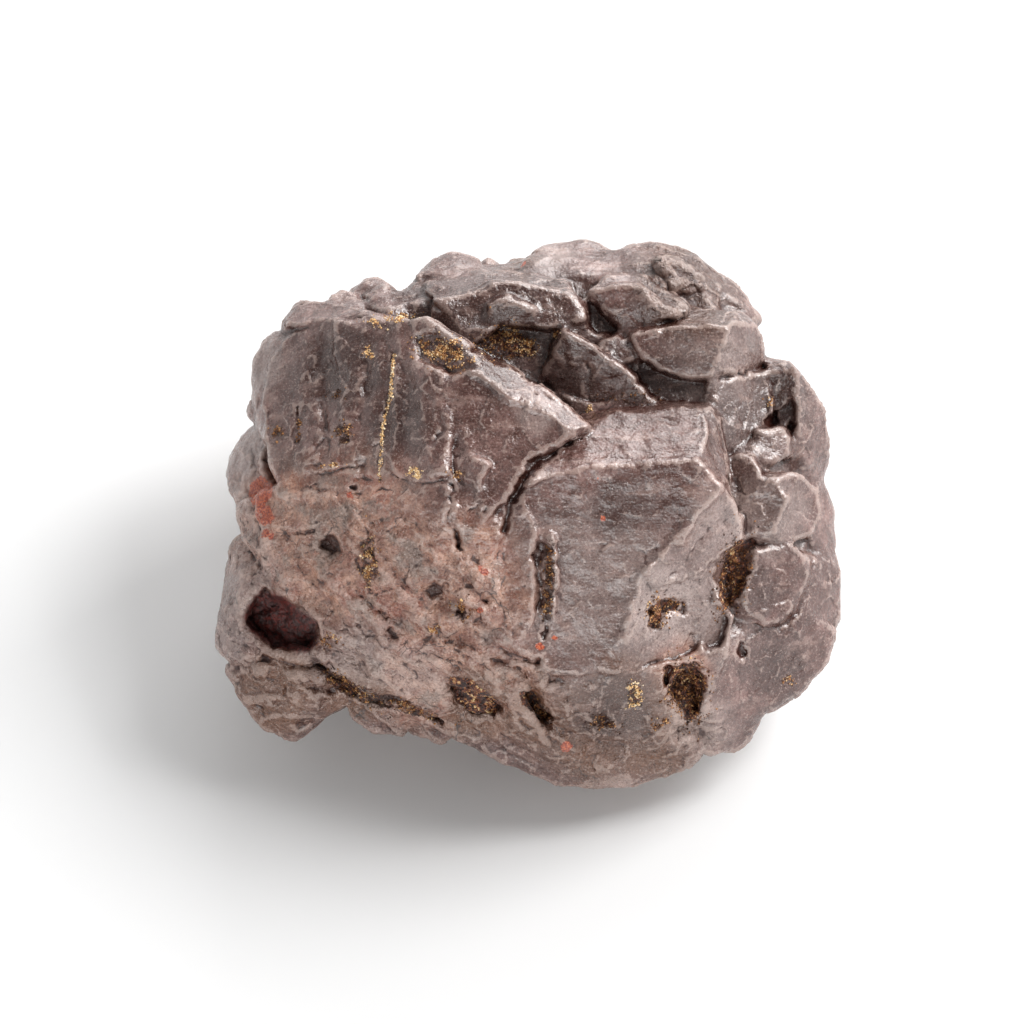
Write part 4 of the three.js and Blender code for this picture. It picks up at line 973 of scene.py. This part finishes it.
def stone_material():
    n = Nodes("iron_oxide")
    rough = n.mask("rough")
    fine = n.noise(0.45, 6, 0.75)
    cloud = n.noise(1.3, 7, 0.72)
    taupe = n.mix(n.band(n.noise(5.0, 5, 0.6), 0.36, 0.66), tint("taupe_low"), tint("taupe_high"))
    taupe = n.mix(n.band(cloud, 0.42, 0.62, 0.0, 0.7), taupe, tint("taupe_dark"))
    pink = n.mix(n.band(cloud, 0.38, 0.60), tint("pink_pale"), tint("pink_deep"))
    pink = n.mix(n.band(n.noise(4.0, 5, 0.7), 0.50, 0.66, 0.0, 0.6), pink, tint("pink_red"))
    pink = n.mix(n.band(n.noise(3.1, 5, 0.7), 0.50, 0.64, 0.0, 0.8), pink, tint("pink_grey"))
    tones = {name: tint(name) for name in ("slate", "shade_and_dark_crust", "pale")}
    tones.update(blush=pink, umber=n.mix(fine, tint("umber_dark"), tint("umber_light")))
    colour = taupe
    # The dark and pale masks lay painted shade and painted highlights over the crust colours.
    for name, share in MASK_SHARES.items():
        colour = n.mix(n.times(n.mask(name), share), colour, tones[name])
    speckle = n.noise(0.16, 3, 0.7)
    colour = n.mix(n.band(speckle, 0.56, 0.66, 0.0, 0.35), colour, tint("speck_pale"))
    colour = n.mix(n.band(speckle, 0.45, 0.35, 0.0, 0.6), colour, tint("speck_dark"))
    stripes = n.noise(1.6, 7, 0.72, stretch=(0.4, 1, 1))
    colour = n.mix(n.band(stripes, 0.52, 0.66, 0.0, 0.35), colour, tint("stripe_dark"))
    colour = n.mix(n.band(stripes, 0.46, 0.36, 0.0, 0.25), colour, tint("stripe_pale"))
    # Ridges made paler: real wear, and a painted highlight along them.
    edge = n.band(n.plus(n.mask("wear_and_ridge_highlight"), n.times(fine, 0.9)), 0.72, 1.05)
    colour = n.mix(n.times(edge, 0.3), colour, tint("edge"))
    cracks = n.times(n.cracks(4.2, 0.02), n.band(rough, 0.2, 0.8, 0.25, 1.0))
    deepest = n.plus(n.mask("hollow"), n.times(fine, 0.9))
    colour = n.mix(n.band(deepest, 0.66, 1.0, 0.0, 0.9), colour, tint("hollow"))
    colour = n.mix(n.times(cracks, 0.85), colour, tint("crack"))
    rust = n.band(n.plus(n.mask("rust"), n.times(cloud, 2.4)), 1.8, 2.0)
    colour = n.mix(rust, colour, n.mix(n.band(speckle, 0.4, 0.6), tint("rust_dark"), tint("rust_light")))
    deep = n.mix(n.band(fine, 0.40, 0.68), tint("maroon_dark"), tint("maroon_light"))
    colour = n.mix(n.mask("maroon"), colour, deep)
    crust = n.band(n.plus(n.mask("grit"), n.times(fine, 1.6)), 1.3, 1.5)
    pebbles = n.cells(0.2)
    patches = n.band(n.noise(0.8, 4, 0.7), 0.38, 0.62, -0.15, 0.35)
    tone = n.plus(n.times(pebbles.outputs["Color"], 0.75), patches)
    colour = n.mix(crust, colour, n.ramp(tone, CRUST_TONES))
    n.feed(n.shader.inputs["Base Color"], colour)
    gloss = n.band(n.noise(0.9, 5, 0.7), 0.3, 0.7, 0.16, 0.34)
    gloss = n.plus(gloss, n.times(rough, 0.08))
    gloss = n.plus(gloss, n.times(n.mask("maroon"), 0.25))
    n.feed(n.shader.inputs["Roughness"], n.plus(gloss, n.times(crust, 0.35)))
    n.shader.inputs["IOR"].default_value = STONE_IOR
    streaks = n.noise(0.9, 4, 0.55, stretch=(0.25, 1, 1))
    lumps = n.times(n.noise(0.8, 5, 0.6), n.band(rough, 0.0, 1.0, 0.15, 0.40))
    height = n.plus(lumps, n.times(streaks, 0.12))
    height = n.maths("SUBTRACT", height, n.times(n.folds(2.2), n.band(rough, 0.0, 1.0, 0.03, 0.10)))
    height = n.maths("SUBTRACT", height, n.times(n.times(pebbles.outputs["Distance"], crust), 0.25))
    bump = n.add("ShaderNodeBump", {"Height": height, "Distance": MM, "Strength": 1.0})
    n.feed(n.shader.inputs["Normal"], bump.outputs["Normal"])
    return n.material


def sand_material():
    n = Nodes("sand_grain")
    fine = n.noise(0.12, 3, 0.6)
    tone = n.plus(n.mask("tone"), n.band(fine, 0.3, 0.7, -0.12, 0.06))
    n.feed(n.shader.inputs["Base Color"], n.ramp(tone, GRAIN_TONES))
    n.shader.inputs["Roughness"].default_value = 0.4
    bump = n.add("ShaderNodeBump", {"Height": fine, "Distance": 0.03 * MM, "Strength": 0.6})
    n.feed(n.shader.inputs["Normal"], bump.outputs["Normal"])
    return n.material


# ---- Sand grains ----

# A bed of grains: middle u, v; half width, half length; turn in degrees; how many; lowest and highest tone.
GRAIN_BEDS = {
    "ridge_cluster": (-6.6, 12.9, 2.2, 1.1, -12, 760, 0.3, 1),
    "valley": (-2.2, 13.6, 2.2, 1.4, -15, 380, 0, 0.85),
    "valley_gold": (-1.4, 14.3, 0.7, 0.6, 0, 180, 0.5, 1),
    "valley_gold_low": (0.1, 13.4, 0.7, 0.7, 0, 190, 0.5, 1),
    "small_apex": (2.2, 14.4, 0.3, 0.5, 0, 40, 0.5, 1),
    "shelf": (-11.2, 15.5, 1.8, 0.5, 10, 240, 0.5, 1),
    "vein_head": (-12.6, 12.9, 0.5, 0.6, 30, 70, 0.5, 1),
    "slab_smudge": (-15, 9.6, 0.8, 0.5, 0, 60, 0, 0.6),
    "slab_green": (-14.6, 6.6, 0.6, 0.9, 0, 110, 0, 0.8),
    "slab_slit": (-18.2, 7, 0.18, 1.2, 0, 80, 0.1, 0.8),
    "slab_red": (-20.1, 6.7, 0.5, 0.7, 20, 70, 0.1, 0.7),
    "slab_dash": (-15.6, 3.9, 0.9, 0.2, 5, 60, 0.3, 1),
    "slab_bright": (-9, 3.3, 0.5, 0.4, 0, 130, 0.7, 1),
    "chip": (-5.8, 3.2, 0.5, 0.4, 0, 70, 0.3, 1),
    "deep_pit": (16.4, -4.7, 1.3, 3, -12, 1100, 0, 0.62),
    "grain_pit": (12.7, -14, 1.5, 2.6, 8, 1300, 0, 0.72),
    "hook": (10.2, -7.7, 1.1, 1.1, 0, 320, 0.05, 0.85),
    "hook_arm": (11.4, -7.2, 0.9, 0.5, 0, 110, 0.05, 0.8),
    "slot": (1.5, -5.6, 0.45, 2.8, -3, 340, 0.05, 0.85),
    "foot_groove": (-14.4, -13.6, 3, 0.6, -33, 420, 0, 0.85),
    "groove_end": (-9, -15.6, 2.4, 0.4, -25, 160, 0.1, 0.8),
    "hole_corner": (-15.8, -10, 0.9, 0.5, 0, 90, 0.2, 0.9),
    "lower_slot": (0.6, -15.2, 0.5, 1.4, 35, 130, 0, 0.7),
    "pink_patch": (-12.6, -3.8, 0.7, 1.9, 0, 200, 0.4, 1),
    "pink_spot": (-7.4, -9, 0.4, 0.4, 0, 50, 0.4, 1),
    "pit_rim": (-5.2, -7.4, 0.8, 0.9, 30, 120, 0.2, 0.9),
    "cream_patch": (8.4, -14.2, 0.7, 1, 0, 150, 0.7, 1),
    "bottom_pit": (6, -16.6, 1.3, 0.5, -15, 160, 0, 0.8),
    "low_right": (10.6, -16.6, 0.8, 0.5, 20, 80, 0.1, 0.8),
    "flank_spot": (20.8, -13.3, 0.5, 0.5, 0, 50, 0.1, 0.9),
    "small_foot": (4.7, 8.4, 0.35, 0.3, 0, 50, 0.5, 1),
    "ledge_back": (8, 9.4, 3, 0.7, 0, 130, 0, 0.5),
    "niche_back": (19.3, 9.2, 0.4, 0.5, 0, 40, 0.3, 1),
}
VEIN_GRAINS = 460
VEIN_SPREAD = 0.07
GRAIN_SEED = 71
GRAIN_SIZE = (0.03, 0.10)  # radius
CLUMP = 0.5  # how far apart the clumps of a bed are


def icosahedron():
    golden = (1 + math.sqrt(5)) / 2
    corners = [
        point
        for a, b in itertools.product((-1, 1), (-golden, golden))
        for point in ((0, a, b), (a, b, 0), (b, 0, a))
    ]
    corners = np.array(corners) / math.hypot(1, golden)
    faces = [
        face
        for face in itertools.combinations(range(12), 3)
        if all(np.linalg.norm(corners[i] - corners[j]) < 1.1 for i, j in itertools.combinations(face, 2))
    ]
    outward = []
    for a, b, c in faces:
        normal = np.cross(corners[b] - corners[a], corners[c] - corners[a])
        outward.append((a, b, c) if normal @ corners[a] > 0 else (a, c, b))
    return corners, np.array(outward)


def surface_of(obj):
    """The object's surface for casting rays at, in millimetres."""
    mesh = obj.data
    mesh.calc_loop_triangles()
    corners = [v.co / MM for v in mesh.vertices]
    return BVHTree.FromPolygons(corners, [tuple(t.vertices) for t in mesh.loop_triangles])


def drop(surface, u, v):
    """Where a thing dropped on the best face at u, v comes to lie, and the face's slope there."""
    start = MIDDLE + SHOW_AXES.T @ np.array([u, v, 40.0])
    point, normal, _, _ = surface.ray_cast(Vector(start), Vector(-SHOW_AXES[2]))
    return point, normal


def grain_spots(rng):
    """Where grains lie on the best face, u and v, and each one's tone."""
    beds = []
    for u, v, across, along, turn, count, low, high in GRAIN_BEDS.values():
        angle = math.radians(turn)
        away = rng.normal(size=(3 * count, 2)) * (across / 2, along / 2)
        place = np.stack(
            [
                u + away[:, 0] * math.cos(angle) - away[:, 1] * math.sin(angle),
                v + away[:, 0] * math.sin(angle) + away[:, 1] * math.cos(angle),
                np.full(len(away), u),
            ],
            axis=1,
        )
        order = np.argsort(-Noise(72)(place / CLUMP) - 0.15 * rng.normal(size=len(place)))[:count]
        tones = low + (high - low) * rng.beta(1.4, 1.8, size=count)
        beds.append(np.c_[place[order, :2], tones])
    line = np.array(CRACKS["gold_vein"][0])
    piece = rng.integers(len(line) - 1, size=VEIN_GRAINS)
    share = rng.uniform(size=VEIN_GRAINS)[:, None]
    place = line[piece] + (line[piece + 1] - line[piece]) * share
    place += rng.normal(size=place.shape) * VEIN_SPREAD
    beds.append(np.c_[place, rng.uniform(0.6, 1.0, size=VEIN_GRAINS)])
    return np.concatenate(beds)


def make_grains(surface):
    rng = np.random.default_rng(GRAIN_SEED)
    corners, faces = icosahedron()
    count = len(corners)
    points, triangles, tones = [], [], []
    for u, v, tone in grain_spots(rng):
        point, normal = drop(surface, u, v)
        if point is None:
            continue
        radius = rng.uniform(*GRAIN_SIZE) * rng.uniform(0.6, 1.2)
        shape = corners * rng.uniform(0.72, 1.28, size=(count, 1)) * rng.uniform(0.6, 1.3, size=3) * radius
        triangles.append(faces + count * len(points))
        points.append(shape + np.array(point) + np.array(normal) * radius * rng.uniform(-0.3, 0.5))
        tones.append(np.full(count, tone))
    points = np.concatenate(points)
    mesh = bpy.data.meshes.new("sand_grains")
    mesh.from_pydata(points.tolist(), [], np.concatenate(triangles).tolist())
    write_points(mesh, points)
    write_value(mesh, "tone", np.concatenate(tones))
    grains = placed("sand_grains", mesh)
    mesh.materials.append(sand_material())
    return grains


# ---- Studio ----

FLOOR_SIZE = 6  # metres
VIEW_DISTANCE = 0.9
VIEW_WIDTH = 0.08192  # what the picture spans at the stone
SENSOR = 36.0
PIXEL = VIEW_WIDTH / 1024
# Lights: place in metres, watts, width in metres.
LIGHTS = {
    "key": ((0.42, 0.20, 0.40), 2.5, 0.3),
    "back": ((0.14, 0.60, 0.28), 1.9, 0.4),
    "sheen": ((0.32, 0.10, 0.54), 0.9, 0.16),
    "fill": ((-0.12, -0.66, 0.16), 2.0, 0.5),
}
TENT_LOW, TENT_FRONT = 1.0, 0.14  # how bright the tent is low down, and above the front
TENT_LEFT, TENT_RIGHT = 0.72, 1.2
STONE_OFFSET = (16, 3)  # pixels, right and down, from the picture's middle to the stone's


def make_camera():
    data = bpy.data.cameras.new("camera")
    data.sensor_width = SENSOR
    data.lens = SENSOR * VIEW_DISTANCE / VIEW_WIDTH
    data.clip_end = 10
    camera = placed("camera", data)
    right, up, back = (Vector(axis) for axis in SHOW_AXES)
    aim = Vector(MIDDLE * MM) - right * STONE_OFFSET[0] * PIXEL + up * STONE_OFFSET[1] * PIXEL
    camera.location = aim + back * VIEW_DISTANCE
    camera.rotation_euler = (-back).to_track_quat("-Z", "Y").to_euler()
    bpy.context.scene.camera = camera


def area_light(name, place, power, size):
    """A square light that points at the stone."""
    data = bpy.data.lights.new(name, "AREA")
    data.energy = power
    data.size = size
    light = placed(name, data)
    light.location = place
    aim = Vector(MIDDLE * MM)
    light.rotation_euler = (aim - light.location).to_track_quat("-Z", "Y").to_euler()


def tent():
    """A pale tent, brighter low down and to the right, and dim above the front, where the camera is."""
    world = bpy.data.worlds.new("tent")
    world.use_nodes = True
    tree = world.node_tree
    coords = tree.nodes.new("ShaderNodeTexCoord")

    def share(direction, low, high, bottom, top):
        dot = tree.nodes.new("ShaderNodeVectorMath")
        dot.operation = "DOT_PRODUCT"
        dot.inputs[1].default_value = direction
        tree.links.new(coords.outputs["Generated"], dot.inputs[0])
        band = tree.nodes.new("ShaderNodeMapRange")
        for name, value in {"From Min": low, "From Max": high, "To Min": bottom, "To Max": top}.items():
            band.inputs[name].default_value = value
        tree.links.new(dot.outputs["Value"], band.inputs["Value"])
        return band.outputs["Result"]

    product = tree.nodes.new("ShaderNodeMath")
    product.operation = "MULTIPLY"
    tree.links.new(share((0, -0.35, 0.94), 0.25, 0.95, TENT_LOW, TENT_FRONT), product.inputs[0])
    tree.links.new(share((1, 0, 0), -1, 1, TENT_LEFT, TENT_RIGHT), product.inputs[1])
    tree.nodes["Background"].inputs["Color"].default_value = (1, 1, 1, 1)
    tree.links.new(product.outputs["Value"], tree.nodes["Background"].inputs["Strength"])
    return world


def make_studio():
    bpy.ops.mesh.primitive_plane_add(size=FLOOR_SIZE)
    floor = bpy.context.object
    floor.name = "floor"
    n = Nodes("pale_floor")
    shade, light = (0.76, 0.76, 0.76, 1), (0.78, 0.78, 0.78, 1)
    n.feed(n.shader.inputs["Base Color"], n.mix(n.noise(60.0, 2, 0.5), shade, light))
    n.shader.inputs["Roughness"].default_value = 0.8
    n.shader.inputs["Specular IOR Level"].default_value = 0.1
    floor.data.materials.append(n.material)
    bpy.context.scene.world = tent()
    for name, (place, power, size) in LIGHTS.items():
        area_light(name, place, power, size)
    bpy.context.scene.view_settings.view_transform = "Standard"
    bpy.context.scene.view_settings.look = "Medium High Contrast"


# ---- The scene ----

make_camera()
make_studio()
stone = make_stone()
grains = make_grains(surface_of(stone))
for piece in (stone, grains):
    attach(piece, "root")
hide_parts("stone")
